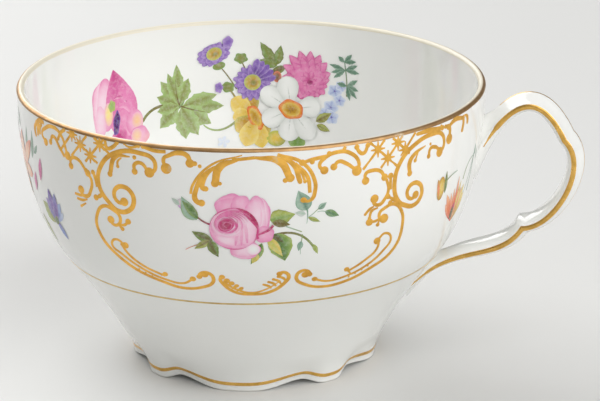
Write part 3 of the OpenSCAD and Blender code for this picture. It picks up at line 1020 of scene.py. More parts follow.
class Sheet:
    # a flat sheet of painted patches that is bent round a wall when it is finished
    def __init__(self, start=0):
        self.bm = bmesh.new()
        self.paint = self.bm.verts.layers.float_color.new("paint")
        self.height = flowers["clear"] + start

    def patch(self, across, along, shape):
        verts = bmesh.ops.create_grid(self.bm, x_segments=across, y_segments=along, size=1)["verts"]
        for vert in verts:
            (x, y), tint = shape(vert.co.x, (vert.co.y + 1) / 2)
            vert.co = (x, y, self.height)
            vert[self.paint] = (*tint, 1)
        self.height += flowers["step"]

    def petal(self, x, y, degrees, length, half, tints, full=1.4, blunt=0.55, steps=(6, 9)):
        # tints: at the base, along the middle, at the tip and at the edges
        base, middle, tip, edge = [palette[t] for t in tints]
        turn, phase = math.radians(degrees), chance.uniform(0, 6)

        def shape(v, u):
            u = (1 - math.cos(math.pi * u)) / 2
            width = half * max(0, math.sin(math.pi * (0.04 + 0.96 * u) ** full)) ** blunt
            place = besideLine(x, y, turn, length * u, v * max(width, brushwork["thinnest"]))
            tint = blend(base, middle, u * 2) if u < 0.5 else blend(middle, tip, u * 2 - 1)
            streak = brushwork["streak"] * math.sin(v * brushwork["streaks"] + phase) * (1 - u)
            outer = abs(v) ** brushwork["petalEdge"] * brushwork["edgeTint"]
            return place, blend(tint, edge, outer + streak)
        self.patch(*steps, shape)

    def spot(self, x, y, wide, high, tints, degrees=0, ruffle=0.0, lean=0.0, steps=8):
        # tints: heart, rim and the side that it leans to
        heart, rim, lit = [palette[t] for t in tints]
        turn, phase = math.radians(degrees), chance.uniform(0, 6)

        def shape(v, u):
            w = u * 2 - 1
            px, py = v * math.sqrt(1 - w * w / 2), w * math.sqrt(1 - v * v / 2)
            reach, angle = math.hypot(px, py), math.atan2(py, px)
            grow = 1 + ruffle * math.sin(angle * brushwork["ruffles"] + phase) * reach
            place = besideLine(x, y, turn, px * wide * grow, py * high * grow)
            tint = blend(heart, rim, reach ** brushwork["heart"])
            return place, blend(tint, lit, max(0, lean * (px * 0.7 - py * 0.7)))
        self.patch(steps, steps, shape)

    def crescent(self, x, y, wide, high, fromDegrees, toDegrees, thick, inner, outer):
        # a brush stroke that follows part of an oval, fullest in its middle
        first, second = palette[inner], palette[outer]

        def shape(v, u):
            angle = math.radians(fromDegrees + (toDegrees - fromDegrees) * u)
            swell = thick * math.sin(math.pi * (0.02 + 0.96 * u)) * (v * 0.5 - 0.5)
            place = (x + (wide + swell) * math.cos(angle), y + (high + swell) * math.sin(angle))
            return place, blend(first, second, (v + 1) / 2)
        self.patch(*flowers["crescentSteps"], shape)

    def leaf(self, x, y, degrees, length, half, tints, bend=0, teeth=0.0, full=0.8):
        # tints: rib side, lit side and edge
        rib, lit, edge = [palette[t] for t in tints]
        turn, phase = math.radians(degrees), chance.uniform(0, 6)

        def shape(v, u):
            jag = 1 + teeth * math.sin(u * brushwork["teeth"] + phase) * abs(v)
            width = max(half * math.sin(math.pi * u ** full) * jag, brushwork["thinLeaf"])
            place = besideLine(x, y, turn + math.radians(bend) * u, length * u, v * width)
            tint = blend(rib, lit, abs(v) * 1.6 if v > 0 else abs(v) * 0.8)
            tint = blend(tint, lit, 0.35 * u)
            vein = brushwork["vein"] * max(0, math.sin(u * brushwork["veins"] - abs(v) * 5))
            outer = abs(v) ** brushwork["leafEdge"] * brushwork["edgeTint"]
            return place, blend(blend(tint, rib, vein), edge, outer)
        self.patch(*flowers["leafSteps"], shape)

    def stem(self, points, start, end, tint):
        # a fine line along a curve, from one half width and tint to another
        first, second = palette[tint[0]], palette[tint[1]]
        steps = flowers["stemSteps"]
        line = curvePoints(*[Vector((*p, 0)) for p in points], steps + 1)

        def shape(v, u):
            i = min(int(u * steps + 0.01), steps)
            way = wayAlong(line, i)
            width = start + (end - start) * u
            return (line[i].x - way.y * width * v, line[i].y + way.x * width * v), blend(first, second, u)
        self.patch(1, steps, shape)

    def ring(self, x, y, count, radius, half, tints, inner=0.0, turn=0, squash=1.0, tilt=0, jitter=0.08):
        # petals round an oval, laid slantwise where the flower is tilted
        for i in range(count):
            degrees = turn + 360 * i / count + chance.uniform(-1, 1) * jitter * 60
            way = pointing(degrees)
            way.y *= squash
            way.rotate(Matrix.Rotation(math.radians(tilt), 2))
            reach = radius * (1 + chance.uniform(-jitter, jitter)) * way.length
            self.petal(x + way.x * inner, y + way.y * inner, math.degrees(math.atan2(way.y, way.x)),
                       reach - inner, half, tints, steps=(4, 6))

    def fan(self, x, y, tips, tints):
        # strokes from one base to given tips: x, y and half width
        for tipX, tipY, half in tips:
            way = Vector((tipX - x, tipY - y))
            degrees = math.degrees(math.atan2(way.y, way.x))
            self.leaf(x, y, degrees, way.length, half, tints, teeth=0.12, full=1.0)

    def finish(self, name, wall, centre):
        for vert in self.bm.verts:
            vert.co = onWall(wall, centre, vert.co.x, vert.co.y, vert.co.z)
        self.bm.normal_update()
        inwards = [face for face in self.bm.faces
                   if face.normal.dot(Vector((*face.calc_center_median().xy, 0))) * wall["side"] < 0]
        bmesh.ops.reverse_faces(self.bm, faces=inwards)
        addPiece(name, self.bm, enamel)


def paintRose(sheet):
    # outer petals, then the bowl, then the petals wrapped round the heart
    sheet.spot(-4.1, 25.2, 3.5, 3.1, ("blush", "rosePink", "rosePale"), ruffle=0.07)
    sheet.crescent(-4.3, 25.2, 3.4, 3.0, 30, 160, 0.7, "blush", "rosePink")
    sheet.spot(-2.4, 26.0, 2.0, 2.1, ("blush", "rosePink", "blush"), ruffle=0.06)
    sheet.spot(1.0, 23.8, 2.5, 4.0, ("rosePale", "rosePink", "blush"), degrees=8, ruffle=0.06)
    sheet.crescent(1.0, 23.8, 2.4, 3.9, 75, -50, 0.9, "rosePale", "rosePink")
    sheet.crescent(0.6, 23.4, 1.5, 3.0, 60, -60, 0.6, "blush", "rosePale")
    sheet.spot(2.2, 19.3, 2.0, 1.9, ("blush", "rosePink", "roseDeep"), degrees=20, ruffle=0.05)
    sheet.spot(-1.7, 15.8, 3.1, 2.3, ("rosePale", "rosePink", "white"), ruffle=0.05)
    sheet.spot(0.0, 15.8, 1.3, 1.3, ("white", "rosePale", "rosePale"))
    sheet.crescent(-1.7, 15.7, 3.1, 2.2, 200, 320, 0.35, "rosePale", "rosePink")
    sheet.spot(-3.8, 20.6, 5.0, 4.75, ("rosePale", "rosePink", "rosePale"), steps=14)
    sheet.spot(-1.4, 20.6, 2.2, 3.6, ("rosePale", "blush", "white"), steps=10)
    sheet.spot(-5.2, 18.0, 2.4, 1.3, ("rosePale", "blush", "rosePale"), degrees=-18)
    fold = ("rosePink", "blush", "rosePale", "blush")
    for x, y, high, turn in ((-3.6, 19.6, 3.6, -8), (-2.4, 19.4, 3.3, -2), (-1.2, 19.9, 3.2, 4)):
        sheet.petal(x, y - high * 0.8, 90 + turn, high * 1.7, 0.35, fold, full=0.8)
    sheet.crescent(-3.8, 20.6, 5.0, 4.8, 165, 330, 0.95, "blush", "rosePink")
    sheet.crescent(-3.7, 20.5, 4.8, 4.75, 235, 300, 0.4, "rosePink", "roseDeep")
    sheet.crescent(-3.8, 20.6, 5.0, 4.8, 172, 78, 0.6, "rosePink", "roseDeep")
    sheet.crescent(-3.7, 20.4, 4.9, 5.0, 86, -6, 1.25, "roseDeep", "crimson")
    sheet.crescent(-3.4, 20.4, 4.5, 4.8, 52, 20, 0.9, "crimson", "crimson")
    sheet.crescent(-3.7, 20.5, 4.9, 4.8, 10, -40, 0.45, "rosePink", "roseDeep")
    wraps = (("rosePale", "blush"), ("blush", "rosePink"),
             ("rosePink", "roseDeep"), ("rosePink", "crimson"))
    for i in range(14):      # tighter and darker towards the heart
        reach = 3.7 - i * 0.2
        turn = 40 + i * 71
        sheet.crescent(-5.5 + reach * 0.2, 21.5, reach, reach * 0.86, turn, turn + 140, 0.55,
                       *wraps[i // 4])
    for i in range(7):       # fine lines that open out from the heart to the edge of the bowl
        reach = 2.1 + 0.38 * i
        sheet.crescent(-5.5 + 0.27 * i, 21.6 - 0.14 * i, reach, reach * 0.93, 215 - 12 * i, 5 + 4 * i, 0.22,
                       "rosePink", "roseDeep")
    sheet.spot(-5.4, 21.5, 1.7, 1.4, ("crimson", "roseDeep", "crimson"), degrees=30)
    for i in range(8):
        reach = 1.9 - i * 0.19
        sheet.crescent(-5.3, 21.5, reach, reach * 0.85, i * 75, i * 75 + 125, 0.26, "crimson", "rosePink")
    sheet.stem([(0.6, 19.2), (2.0, 19.8), (3.2, 20.0), (4.0, 21.4)], 0.2, 0.26, ("roseDeep", "crimson"))
    sheet.stem([(1.0, 18.4), (0.6, 19.4), (1.0, 20.2), (0.8, 21.4)], 0.22, 0.1, ("roseDeep", "roseDeep"))


def paintRoseLeaves(sheet):
    pale, grey = ("leaf", "leafLight", "olive"), ("teal", "tealPale", "teal")
    sheet.stem([(4.1, 19.0), (7.2, 19.9), (10.6, 19.6), (12.9, 14.2)], 0.26, 0.26, ("twig", "stalk"))
    sheet.leaf(12.2, 16.2, -70, 2.6, 0.5, ("stalk", "leafLight", "stalk"))
    sheet.stem([(6.6, 20.9), (8.0, 20.2), (9.0, 19.8), (9.8, 19.4)], 0.14, 0.1, ("tealPale", "stalk"))
    sheet.stem([(9.9, 18.8), (9.9, 17.6), (9.4, 16.8), (9.5, 14.0)], 0.12, 0.05, ("stalk", "tealPale"))
    sheet.leaf(9.7, 17.2, -105, 2.4, 0.6, grey)
    sheet.leaf(10.9, 24.2, 112, 4.8, 1.7, ("tealDark", "tealPale", "teal"), full=0.7)
    sheet.stem([(10.9, 24.4), (11.1, 23.4), (11.0, 22.2), (10.8, 21.2)], 0.16, 0.06, ("teal", "tealPale"))
    sheet.stem([(11.2, 22.7), (12.2, 23.2), (13.0, 24.2), (13.6, 24.6)], 0.1, 0.08, ("tealPale", "stalk"))
    sheet.leaf(13.2, 24.2, 38, 2.2, 0.6, ("tealDark", "tealPale", "teal"))
    sheet.leaf(14.6, 23.6, -24, 3.3, 0.8, ("tealDark", "leaf", "teal"))
    sheet.stem([(13.0, 23.6), (13.6, 23.8), (14.2, 23.8), (15.0, 23.4)], 0.08, 0.08,
               ("tealPale", "tealPale"))
    sheet.leaf(11.1, 22.6, -26, 2.8, 0.5, ("olive", "leafLight", "teal"))
    sheet.leaf(10.6, 23.4, 168, 2.2, 0.7, ("tealPale", "whiteShade", "whiteShade"))
    sheet.leaf(3.4, 22.5, 12, 5.2, 1.9, pale, teeth=0.05, full=0.62)
    sheet.leaf(3.9, 22.0, -12, 3.6, 0.9, ("twig", "olive", "twig"))
    sheet.leaf(4.4, 19.4, -66, 7.0, 2.5, ("leafDark", "leaf", "leafLight"), bend=-8, teeth=0.05)
    sheet.leaf(3.0, 18.4, -58, 5.4, 1.0, ("leafLight", "yellow", "leafLight"), full=0.7)
    sheet.leaf(3.9, 19.2, -42, 3.0, 0.6, ("twig", "leafDark", "twig"))
    sheet.leaf(1.7, 17.2, -108, 5.6, 1.05, ("leafDark", "leaf", "leafLight"), bend=-6, teeth=0.04)
    sheet.leaf(0.9, 14.6, -118, 2.6, 0.7, ("leafLight", "yellow", "leafLight"))
    # the other side of the bloom
    sheet.stem([(-8.2, 21.4), (-9.6, 21.6), (-10.6, 22.4), (-11.4, 23.2)], 0.2, 0.16, ("crimson", "twig"))
    sheet.petal(-13.4, 24.2, 122, 3.0, 1.0, ("violetPale", "blush", "whiteShade", "violetPale"))
    sheet.leaf(-11.3, 22.4, 140, 5.8, 1.5, ("teal", "tealPale", "leaf"), bend=-18)
    sheet.leaf(-11.1, 22.6, 122, 5.0, 0.9, ("leafDark", "leaf", "olive"), bend=8)
    sheet.leaf(-14.8, 25.4, 140, 2.2, 0.5, ("tealPale", "whiteShade", "tealPale"))
    sheet.stem([(-9.2, 17.2), (-11.0, 16.8), (-12.4, 16.2), (-13.8, 15.2)], 0.12, 0.06, ("stalk", "salmon"))
    sheet.leaf(-8.2, 17.8, 166, 4.6, 1.0, ("twig", "leaf", "olive"), bend=-10)
    sheet.leaf(-8.6, 17.8, -146, 4.0, 0.8, ("twig", "leafLight", "olive"))
    sheet.leaf(-8.7, 17.9, -78, 4.4, 1.1, ("twig", "leaf", "olive"), bend=10, teeth=0.05)


def paintTulip(sheet, x, flip):
    # the small orange flower beside the handle; x is its foot, flip turns it to the other side
    def at(dx, y):
        return x + dx * flip, y

    def over(points):
        return [at(*point) for point in points]

    def turned(degrees):
        return degrees if flip > 0 else 180 - degrees

    sheet.stem(over([(4.6, 16.4), (6.4, 20), (8.6, 23), (9.8, 26)]), 0.14, 0.14, ("tealPale", "teal"))
    sheet.stem(over([(7.6, 17.6), (8.6, 21), (9.4, 24), (10.4, 27)]), 0.2, 0.14, ("teal", "tealPale"))
    sheet.stem(over([(4.0, 21.6), (5.2, 24.6), (7.2, 25.6), (9.6, 25.6)]), 0.18, 0.1, ("stalk", "tealPale"))
    sheet.leaf(*at(10.4, 25.4), turned(84), 2.6, 0.5, ("teal", "tealPale", "teal"))
    sheet.leaf(*at(11.4, 24.0), turned(66), 3.0, 0.6, ("tealPale", "whiteShade", "whiteShade"))
    red, warm = ("crimson", "salmon", "peach", "salmon"), ("salmon", "orange", "peach", "salmon")
    gold = ("ochre", "yellow", "yellowPale", "ochre")
    petals = (
        (122, 6.6, 0.9, red), (48, 8.0, 1.2, gold), (112, 8.6, 0.9, warm), (58, 9.4, 1.0, gold),
        (100, 8.0, 0.6, red), (66, 8.6, 0.6, warm), (90, 8.6, 0.5, warm), (80, 11.0, 0.6, warm),
        (72, 10.0, 0.5, gold),
    )
    for degrees, length, half, tints in petals:
        sheet.petal(x, 12.2, turned(degrees), length, half, tints, full=1.3, blunt=0.9)
    sheet.spot(*at(0.2, 15.8), 0.8, 1.5, ("crimson", "salmon", "crimson"), degrees=-14 * flip)
    sheet.spot(*at(-0.3, 14.6), 0.6, 1.5, ("twig", "leafDark", "twig"), degrees=-12 * flip)
    sheet.spot(*at(-5.9, 22.4), 1.3, 2.7, ("yellow", "ochre", "leafLight"), degrees=-12 * flip)
    sheet.petal(*at(-6.6, 20.0), turned(94), 4.8, 0.5, ("ochre", "salmon", "ochre", "yellow"))
    sheet.leaf(*at(-4.4, 21.0), turned(84), 5.0, 0.6, ("leafDark", "olive", "leafLight"))
    sheet.stem(over([(-4.4, 23.4), (-3.2, 24.2), (-1.6, 24.6), (0.6, 24.8)]), 0.2, 0.08,
               ("olive", "tealPale"))


def paintSidePosy(sheet, x):
    # the posy opposite the handle: a salmon lily, with a bell and pink buds towards the front
    green, grey = ("leafDark", "leafLight", "leaf"), ("tealDark", "tealPale", "teal")
    olive, salmon = ("olive", "leafLight", "leaf"), ("salmon", "peach", "salmon", "salmon")
    pink = ("magentaPale", "magenta", "magentaPale", "rosePink")
    leaves = (
        (7.4, 26.6, 72, 6.6, 0.8, grey), (3.2, 27.0, 66, 6.2, 0.8, grey), (9.0, 28.2, 40, 3.0, 0.6, grey),
        (16.0, 13.4, 132, 6.6, 2.1, olive), (8.0, 13.0, -56, 8.4, 1.2, olive),
        (3.0, 11.0, -122, 5.6, 1.3, green), (-9.0, 16.0, -130, 6.0, 1.4, green),
        (-8.0, 29.0, 130, 6.0, 1.2, grey), (-13.0, 23.0, 176, 6.0, 1.3, green),
        (-2.0, 31.0, 100, 4.6, 1.0, grey),
    )
    lily = ((0, 6.4, 1.7), (180, 7.0, 1.8), (228, 7.6, 1.8), (130, 8.4, 1.9), (272, 7.8, 1.7),
            (92, 8.4, 1.8), (48, 10.6, 1.5))
    buds = ((11.4, 22.6, 82, 5.4), (7.6, 19.0, 80, 4.8), (-9.0, 26.0, 118, 5.4),
            (-10.0, 24.6, 150, 5.0), (-8.4, 26.6, 92, 5.0))
    # the bell's petals open upwards, pale on the lit side
    bell = (
        (40, 4.2, 1.0, ("blue", "bluePale", "whiteBlue", "bluePale")),
        (-48, 5.4, 0.8, ("violet", "blue", "blue", "bluePale")),
        (66, 5.4, 1.1, ("violet", "blue", "bluePale", "bluePale")),
        (128, 6.0, 1.2, ("violetDark", "violet", "violetPale", "blue")),
        (108, 7.6, 1.3, ("violetDark", "violet", "violet", "blue")),
        (88, 6.8, 1.1, ("violetDark", "violet", "blue", "violetPale")),
    )
    sheet.stem([(x, 27), (x + 2, 20), (x + 5, 14), (x + 4, 7)], 0.26, 0.14, ("stalk", "olive"))
    for dx, y, degrees, length, half, tints in leaves:
        sheet.leaf(x + dx, y, degrees, length, half, tints, bend=10, teeth=0.05)
    for degrees, length, half in lily:
        sheet.petal(x, 22.6, degrees, length, half, salmon, full=1.2, blunt=0.7)
    sheet.spot(x, 22.6, 1.2, 1.2, ("ochre", "yellow", "leafLight"), ruffle=0.08)
    for dx, y, degrees, length in buds:
        sheet.petal(x + dx, y, degrees, length, 0.85, pink, full=1.0, blunt=0.8)
    for dx, y in ((17.0, 14.4), (-10.4, 14.6)):
        for degrees, length, half, tints in bell:
            sheet.petal(x + dx, y, degrees, length, half, tints, full=1.0, blunt=0.8)
        sheet.spot(x + dx, y, 0.8, 1.1, ("leafDark", "olive", "leaf"))


def paintPoppy(sheet):
    sheet.stem([(-26.2, 15.4), (-24.2, 18.6), (-20.3, 18.6), (-17.0, 18.0)], 0.34, 0.3, ("olive", "twig"))
    sheet.spot(-36.9, 21.0, 3.7, 5.8, ("rosePale", "rosePink", "blush"), ruffle=0.06, steps=12)
    sheet.spot(-38.2, 17.6, 2.0, 3.4, ("rosePale", "blush", "rosePink"), ruffle=0.06)
    sheet.crescent(-36.9, 21.0, 3.4, 5.6, 100, 220, 1.4, "rosePale", "blush")
    sheet.petal(-30.4, 12.0, 102, 16.9, 4.3, ("rosePink", "magentaPale", "magenta", "rosePink"),
                full=0.9, blunt=0.9, steps=(10, 18))
    sheet.petal(-29.8, 13.0, 96, 12.6, 3.0, ("blush", "rosePink", "magentaPale", "magentaPale"),
                full=1.1, blunt=0.8, steps=(8, 12))
    sheet.crescent(-32.6, 17.0, 3.2, 5.4, 120, 30, 0.8, "blush", "magenta")
    sheet.crescent(-31.6, 15.4, 3.0, 4.6, 110, 20, 0.7, "blush", "rosePink")
    sheet.spot(-28.4, 15.8, 2.3, 2.9, ("blush", "rosePink", "peach"), lean=0.5)
    sheet.spot(-27.7, 16.0, 1.5, 1.9, ("peach", "blush", "peach"))
    sheet.spot(-27.2, 12.4, 2.6, 2.3, ("blush", "rosePink", "peach"), ruffle=0.05, lean=0.4)
    sheet.spot(-27.9, 12.6, 1.5, 1.7, ("peach", "blush", "yellowPale"))
    sheet.spot(-32.8, 13.2, 2.4, 1.7, ("magenta", "rosePink", "magentaPale"), degrees=15)
    sheet.spot(-35.7, 18.8, 1.3, 2.6, ("yellowPale", "blush", "peach"), lean=0.6)
    sheet.spot(-34.6, 20.4, 1.0, 1.3, ("leafPale", "leafLight", "yellowPale"), ruffle=0.1)
    sheet.spot(-33.4, 16.4, 0.95, 2.7, ("plum", "violet", "violetDark"), degrees=-8, ruffle=0.08)
    sheet.spot(-33.3, 16.8, 0.5, 1.7, ("violetDark", "plum", "plum"), degrees=-8)


def paintBouquetLeaves(sheet):
    green, grey = ("olive", "leafPale", "leafPale"), ("tealDark", "teal", "tealPale")
    # two lobed leaves on the poppy's stalk
    sheet.spot(-17.9, 19.4, 2.4, 2.6, ("olive", "leaf", "leafPale"))
    sheet.fan(-17.0, 17.8, ((-17.4, 27.2, 1.5), (-21.4, 23.8, 1.6), (-22.4, 20.4, 1.4), (-21.8, 13.2, 1.9),
                            (-14.6, 23.8, 1.6), (-19.6, 25.4, 1.3), (-22.4, 17.0, 1.4)), green)
    sheet.spot(-13.2, 15.6, 3.0, 2.6, ("olive", "leaf", "leafPale"))
    sheet.fan(-16.4, 17.4, ((-6.4, 16.9, 1.8), (-8.0, 19.6, 1.7), (-15.4, 10.0, 2.0), (-9.4, 13.0, 2.1),
                            (-12.4, 10.6, 2.0)), green)
    sheet.stem([(-16.6, 17.6), (-14.6, 16.8), (-12.4, 16.0), (-10.0, 15.6)], 0.16, 0.06, ("twig", "olive"))
    sheet.stem([(-16.8, 17.8), (-17.6, 19.8), (-17.8, 22.0), (-17.6, 24.0)], 0.14, 0.05, ("twig", "olive"))
    sheet.stem([(-11.2, 12.8), (-8.8, 10.4), (-5.0, 10.8), (-1.4, 15.6)], 0.16, 0.3, ("leafPale", "olive"))
    # twigs and leaves between the blooms
    sheet.stem([(-7.2, 26.0), (-6.0, 24.6), (-4.8, 23.0), (-3.4, 20.6)], 0.12, 0.16, ("twig", "olive"))
    sheet.spot(-7.4, 26.1, 1.5, 0.9, ("olive", "leaf", "leafLight"), degrees=15)
    sheet.spot(-2.3, 27.7, 1.5, 1.2, ("olive", "leaf", "leafLight"), ruffle=0.12)
    sheet.stem([(-2.2, 27.0), (-1.8, 26.2), (-1.4, 25.4), (-1.0, 24.4)], 0.14, 0.16, ("olive", "twig"))
    sheet.spot(-5.4, 21.1, 1.5, 1.2, ("olive", "leaf", "twig"), degrees=-10, ruffle=0.08)
    sheet.stem([(-5.0, 20.6), (-3.8, 19.0), (-2.6, 17.0), (-1.6, 14.6)], 0.2, 0.24, ("olive", "ochre"))
    for x, y, degrees, length, half in ((5.6, 26.0, 122, 6.4, 1.3), (6.0, 26.2, 78, 4.6, 1.1),
                                        (6.0, 26.0, 162, 4.2, 1.2)):
        sheet.leaf(x, y, degrees, length, half, ("olive", "leaf", "twig"), teeth=0.08)
    sheet.leaf(8.0, 25.8, 206, 4.4, 0.9, ("twig", "olive", "leaf"))
    sheet.spot(6.0, 23.4, 1.0, 1.3, ("twig", "salmon", "twig"))
    sheet.stem([(22.6, 20.0), (22.9, 23.0), (22.4, 25.6), (22.1, 28.2)], 0.18, 0.1, ("olive", "teal"))
    sprays = (
        (22.3, 26.0, ((18.4, 27.0), (18.8, 25.2), (19.4, 24.0), (25.4, 27.4), (25.9, 25.6))),
        (22.1, 27.8, ((20.6, 29.0), (24.0, 29.8), (25.0, 28.2))),
        (22.7, 22.4, ((25.4, 24.0), (25.6, 21.6), (25.2, 19.8), (23.4, 19.2), (20.2, 22.8))),
    )
    for x, y, tips in sprays:
        sheet.fan(x, y, [(tipX, tipY, 0.55) for tipX, tipY in tips], grey)
    sheet.leaf(15.0, 13.6, 30, 4.4, 1.0, ("twig", "leafLight", "olive"), teeth=0.06)
    sheet.leaf(15.2, 12.8, -20, 3.4, 0.8, ("olive", "leafLight", "twig"))
    sheet.spot(10.4, 8.6, 2.0, 1.5, ("leaf", "leafPale", "leafLight"))
    sheet.spot(5.6, 9.2, 2.2, 1.8, ("yellow", "leafLight", "olive"), lean=0.5)


def paintForgetMeNots(sheet):
    petals = ("blue", "bluePale", "bluePale", "whiteBlue")
    faded = ("whiteBlue", "whiteBlue", "whiteBlue", "white")
    for x, y, size in ((19.6, 20.9, 1.5), (21.2, 22.2, 1.2), (18.6, 17.1, 1.6),
                       (18.8, 14.9, 1.5), (20.8, 18.9, 1.3), (17.2, 15.6, 1.2)):
        sheet.spot(x, y, size * 1.1, size, ("bluePale", "whiteBlue", "whiteBlue"), ruffle=0.12)
        sheet.ring(x, y, 5, size * 0.9, size * 0.3, petals, inner=0.1)
        sheet.spot(x, y, 0.26, 0.24, ("violet", "blue", "violet"), steps=4)
    sheet.ring(-6.6, 8.6, 5, 1.4, 0.5, faded, inner=0.1)      # one that has lost its colour


def paintAsters(sheet):
    purple = ("violetDark", "violet", "violetPale", "violet")
    light = ("violet", "violet", "violetPale", "violetPale")
    turning = ("violetDark", "violet", "violet", "violetPale")
    for x, y, radius, squash, tilt in ((-8.6, 28.9, 4.1, 0.66, 20), (0.2, 22.0, 4.3, 0.96, 0)):
        under, heart = radius * 0.86, radius * 0.46
        sheet.spot(x, y, under, under * squash, ("violet", "violet", "violetPale"), degrees=tilt)
        sheet.ring(x, y, 15, radius, 0.75, purple, inner=0.8, squash=squash, tilt=tilt, jitter=0.06)
        sheet.ring(x, y, 12, radius * 0.8, 0.6, light, inner=0.7, turn=12, squash=squash, tilt=tilt)
        sheet.spot(x + 0.1, y + 0.1, heart, heart * (squash + 0.9) / 2, ("ochre", "leafLight", "yellow"),
                   degrees=tilt)
        sheet.spot(x + 0.3, y, heart * 0.5, heart * 0.46 * squash, ("olive", "ochre", "leafLight"),
                   degrees=tilt)
    for degrees in (14, 30, 46, 62, 76):      # the longer petals that turn away
        base = Vector((0.2, 22.0)) + pointing(degrees) * 2.2
        sheet.petal(base.x, base.y, degrees, 3.5, 0.85, turning)
    sheet.spot(-5.3, 31.6, 1.2, 1.4, ("violet", "violetPale", "violetPale"), degrees=-20, ruffle=0.08)
    sheet.spot(-7.5, 21.1, 0.9, 1.2, ("violet", "violetPale", "violetPale"), ruffle=0.1)


def paintDaffodil(sheet):
    lit, shaded = ("ochre", "yellow", "yellow", "yellowPale"), ("ochre", "ochre", "yellow", "leafLight")
    petals = (
        (104, 4.6, 1.7, shaded), (146, 6.6, 2.2, lit), (186, 5.2, 2.1, lit), (300, 5.6, 1.9, shaded),
        (282, 7.8, 2.1, lit), (220, 5.8, 2.2, shaded), (252, 7.6, 2.3, lit),
    )
    for degrees, length, half, tints in petals:
        sheet.petal(0.8, 14.6, degrees, length, half, tints, full=1.7, blunt=0.7)
    sheet.spot(0.9, 14.0, 1.6, 3.0, ("yellow", "orange", "orange"), degrees=27, ruffle=0.06)
    sheet.spot(0.8, 14.1, 1.0, 2.2, ("ochre", "yellow", "orange"), degrees=27)


def paintDahlia(sheet):
    layers = ((17, 1.0, 1.3, ("magenta", "magentaPale", "rosePink", "magenta")),
              (14, 0.8, 1.2, ("magenta", "magentaPale", "magentaPale", "magenta")),
              (11, 0.58, 1.0, ("magenta", "rosePink", "magentaPale", "magentaPale")),
              (8, 0.36, 0.75, ("magenta", "magentaPale", "rosePink", "magenta")))
    sheet.spot(12.9, 23.4, 4.6, 5.0, ("magentaPale", "magenta", "magentaPale"), ruffle=0.05)
    for count, share, half, tints in layers:
        for i in range(count):
            degrees = 360 * i / count + count * 4 + chance.uniform(-4, 4)
            reach = 5.7 + 1.5 * math.cos(math.radians(degrees - 120)) + chance.uniform(-0.3, 0.3)
            sheet.petal(13.6, 22.8, degrees, reach * share, half, tints, full=1.25, blunt=0.8, steps=(4, 7))
    sheet.spot(13.7, 22.5, 0.7, 0.6, ("magentaDark", "magenta", "rosePale"))


def paintNarcissus(sheet):
    pale = ("whiteShade", "white", "white", "whiteShade")
    vein = ("whiteDeep", "whiteShade", "white", "white")
    for degrees, length, half in ((263, 7.4, 2.5), (-52, 8.2, 2.5), (10, 7.0, 2.5),
                                  (205, 7.4, 2.4), (148, 8.2, 2.4), (98, 7.7, 2.6)):
        base = Vector((9.2, 16.0)) + pointing(degrees) * 1.8
        sheet.petal(9.2, 16.0, degrees, length, half, pale, full=2.0, blunt=0.5, steps=(8, 10))
        sheet.petal(base.x, base.y, degrees, length * 0.5, 0.16, vein)
    sheet.spot(9.2, 16.0, 2.9, 2.2, ("yellow", "orange", "orange"), degrees=-14, ruffle=0.05, steps=10)
    sheet.spot(9.2, 16.0, 2.15, 1.5, ("ochre", "yellow", "yellow"), degrees=-14)
    sheet.ring(9.2, 15.9, 7, 1.3, 0.2, ("twig", "ochre", "ochre", "ochre"), inner=0.2, squash=0.7)


def addFlower(name, wall, centre, lift, paint, *place):
    sheet = Sheet(lift)
    paint(sheet, *place)
    sheet.finish(name, wall, centre)


def makeFlowers():
    front, back = cup["frontTurn"], cup["frontTurn"] + 180
    for side, centre, tulipAt, flip in (("front", front, flowers["frontTulip"], 1),
                                        ("back", back, flowers["backTulip"], -1)):
        addFlower(side + "RoseLeaves", outsideWall, centre, 0, paintRoseLeaves)
        addFlower(side + "Rose", outsideWall, centre, flowers["roseLift"], paintRose)
        addFlower(side + "Tulip", outsideWall, centre, 0, paintTulip, tulipAt, flip)
    addFlower("sidePosy", outsideWall, front, 0, paintSidePosy, flowers["sidePosy"])
    addFlower("poppy", insideWall, back, 0, paintPoppy)
    addFlower("bouquetLeaves", insideWall, back, 0, paintBouquetLeaves)
    addFlower("forgetMeNots", insideWall, back, 0, paintForgetMeNots)
    addFlower("asters", insideWall, back, flowers["bloomLift"], paintAsters)
    addFlower("daffodil", insideWall, back, flowers["bloomLift"], paintDaffodil)
    addFlower("dahlia", insideWall, back, flowers["bloomLift"], paintDahlia)
    addFlower("narcissus", insideWall, back, flowers["narcissusLift"], paintNarcissus)


makeFlowers()

# table, light and camera
studio = {
    "table": (0.74, 0.74, 0.725),
    "tableGrain": 0.985,     # what its grain darkens it to
    "tableGrainScale": 30,
    "tableRough": (0.5, 0.6),
    "tableSize": 4,
    "world": 0.16,
    "worldTint": (1, 1, 0.99, 1),
    "aim": (0, 0, 0.03),
    "camera": {
        "turn": 7.5,         # degrees, to the right of the cup's front
        "away": 614.8,       # mm
        "height": 238.5,
        "pitch": 18.43,
        "pan": 0.95,
        "roll": -0.44,
        "lens": 180,
        "film": 36,
        "near": 0.05,        # m
        "far": 20,
    },
    "lights": {
        "rightFront": {"place": (0.62, -0.60, 0.72), "size": 1.3, "watts": 10.9},
        "leftBack": {"place": (-0.62, 0.75, 0.80), "size": 1.3, "watts": 13.6},
        "leftFront": {"place": (-0.75, -0.5, 0.6), "size": 1.0, "watts": 0.6},
        "right": {"place": (1.0, 0.05, 0.55), "size": 0.9, "watts": 1.4},
        "above": {"place": (-0.55, -0.1, 1.05), "size": 1.0, "watts": 1.3},
    },
}


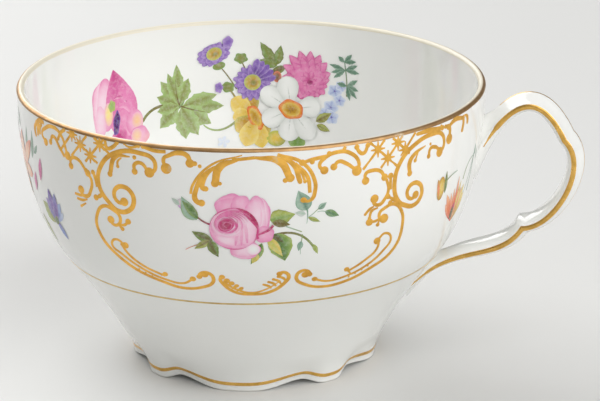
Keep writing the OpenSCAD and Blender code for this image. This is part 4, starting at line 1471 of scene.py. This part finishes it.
def makeTable():
    recipe = Recipe("table")
    grain = recipe.grain(studio["tableGrainScale"], 4)
    pale = studio["table"]
    tint = recipe.mix(grain, pale, tuple(c * studio["tableGrain"] for c in pale))
    recipe.shade({"Base Color": tint, "Roughness": recipe.spread(grain, 0, 1, *studio["tableRough"])})
    bm = bmesh.new()
    bmesh.ops.create_grid(bm, x_segments=2, y_segments=2, size=studio["tableSize"])
    mesh = bpy.data.meshes.new("table")
    bm.to_mesh(mesh)
    bm.free()
    mesh.materials.append(recipe.material)
    table = bpy.data.objects.new("table", mesh)
    scene.collection.objects.link(table)


def addLight(name, place, size, watts):
    light = bpy.data.lights.new(name, "AREA")
    light.shape = "SQUARE"
    light.size = size
    light.energy = watts
    lamp = bpy.data.objects.new(name, light)
    scene.collection.objects.link(lamp)
    aim = Vector(studio["aim"]) - Vector(place)
    lamp.matrix_world = Matrix.Translation(place) @ aim.to_track_quat("-Z", "Y").to_matrix().to_4x4()


def addCamera():
    view = studio["camera"]
    turn = math.radians(view["turn"])
    camera = bpy.data.objects.new("camera", bpy.data.cameras.new("camera"))
    camera.data.lens = view["lens"]
    camera.data.sensor_width = view["film"]
    camera.data.clip_start = view["near"]
    camera.data.clip_end = view["far"]
    away = view["away"]
    place = Vector((math.sin(turn) * away, -math.cos(turn) * away, view["height"])) * mm
    camera.matrix_world = (Matrix.Translation(place)
                           @ Matrix.Rotation(turn - math.radians(view["pan"]), 4, "Z")
                           @ Matrix.Rotation(math.radians(90 - view["pitch"]), 4, "X")
                           @ Matrix.Rotation(math.radians(view["roll"]), 4, "Z"))
    scene.collection.objects.link(camera)
    scene.camera = camera


makeTable()
for name, light in studio["lights"].items():
    addLight(name, light["place"], light["size"], light["watts"])
addCamera()
world = bpy.data.worlds.new("studio")
world.use_nodes = True
sky = world.node_tree.nodes["Background"].inputs
sky["Color"].default_value = studio["worldTint"]
sky["Strength"].default_value = studio["world"]
scene.world = world
scene.view_settings.view_transform = "Standard"
print("studio set")
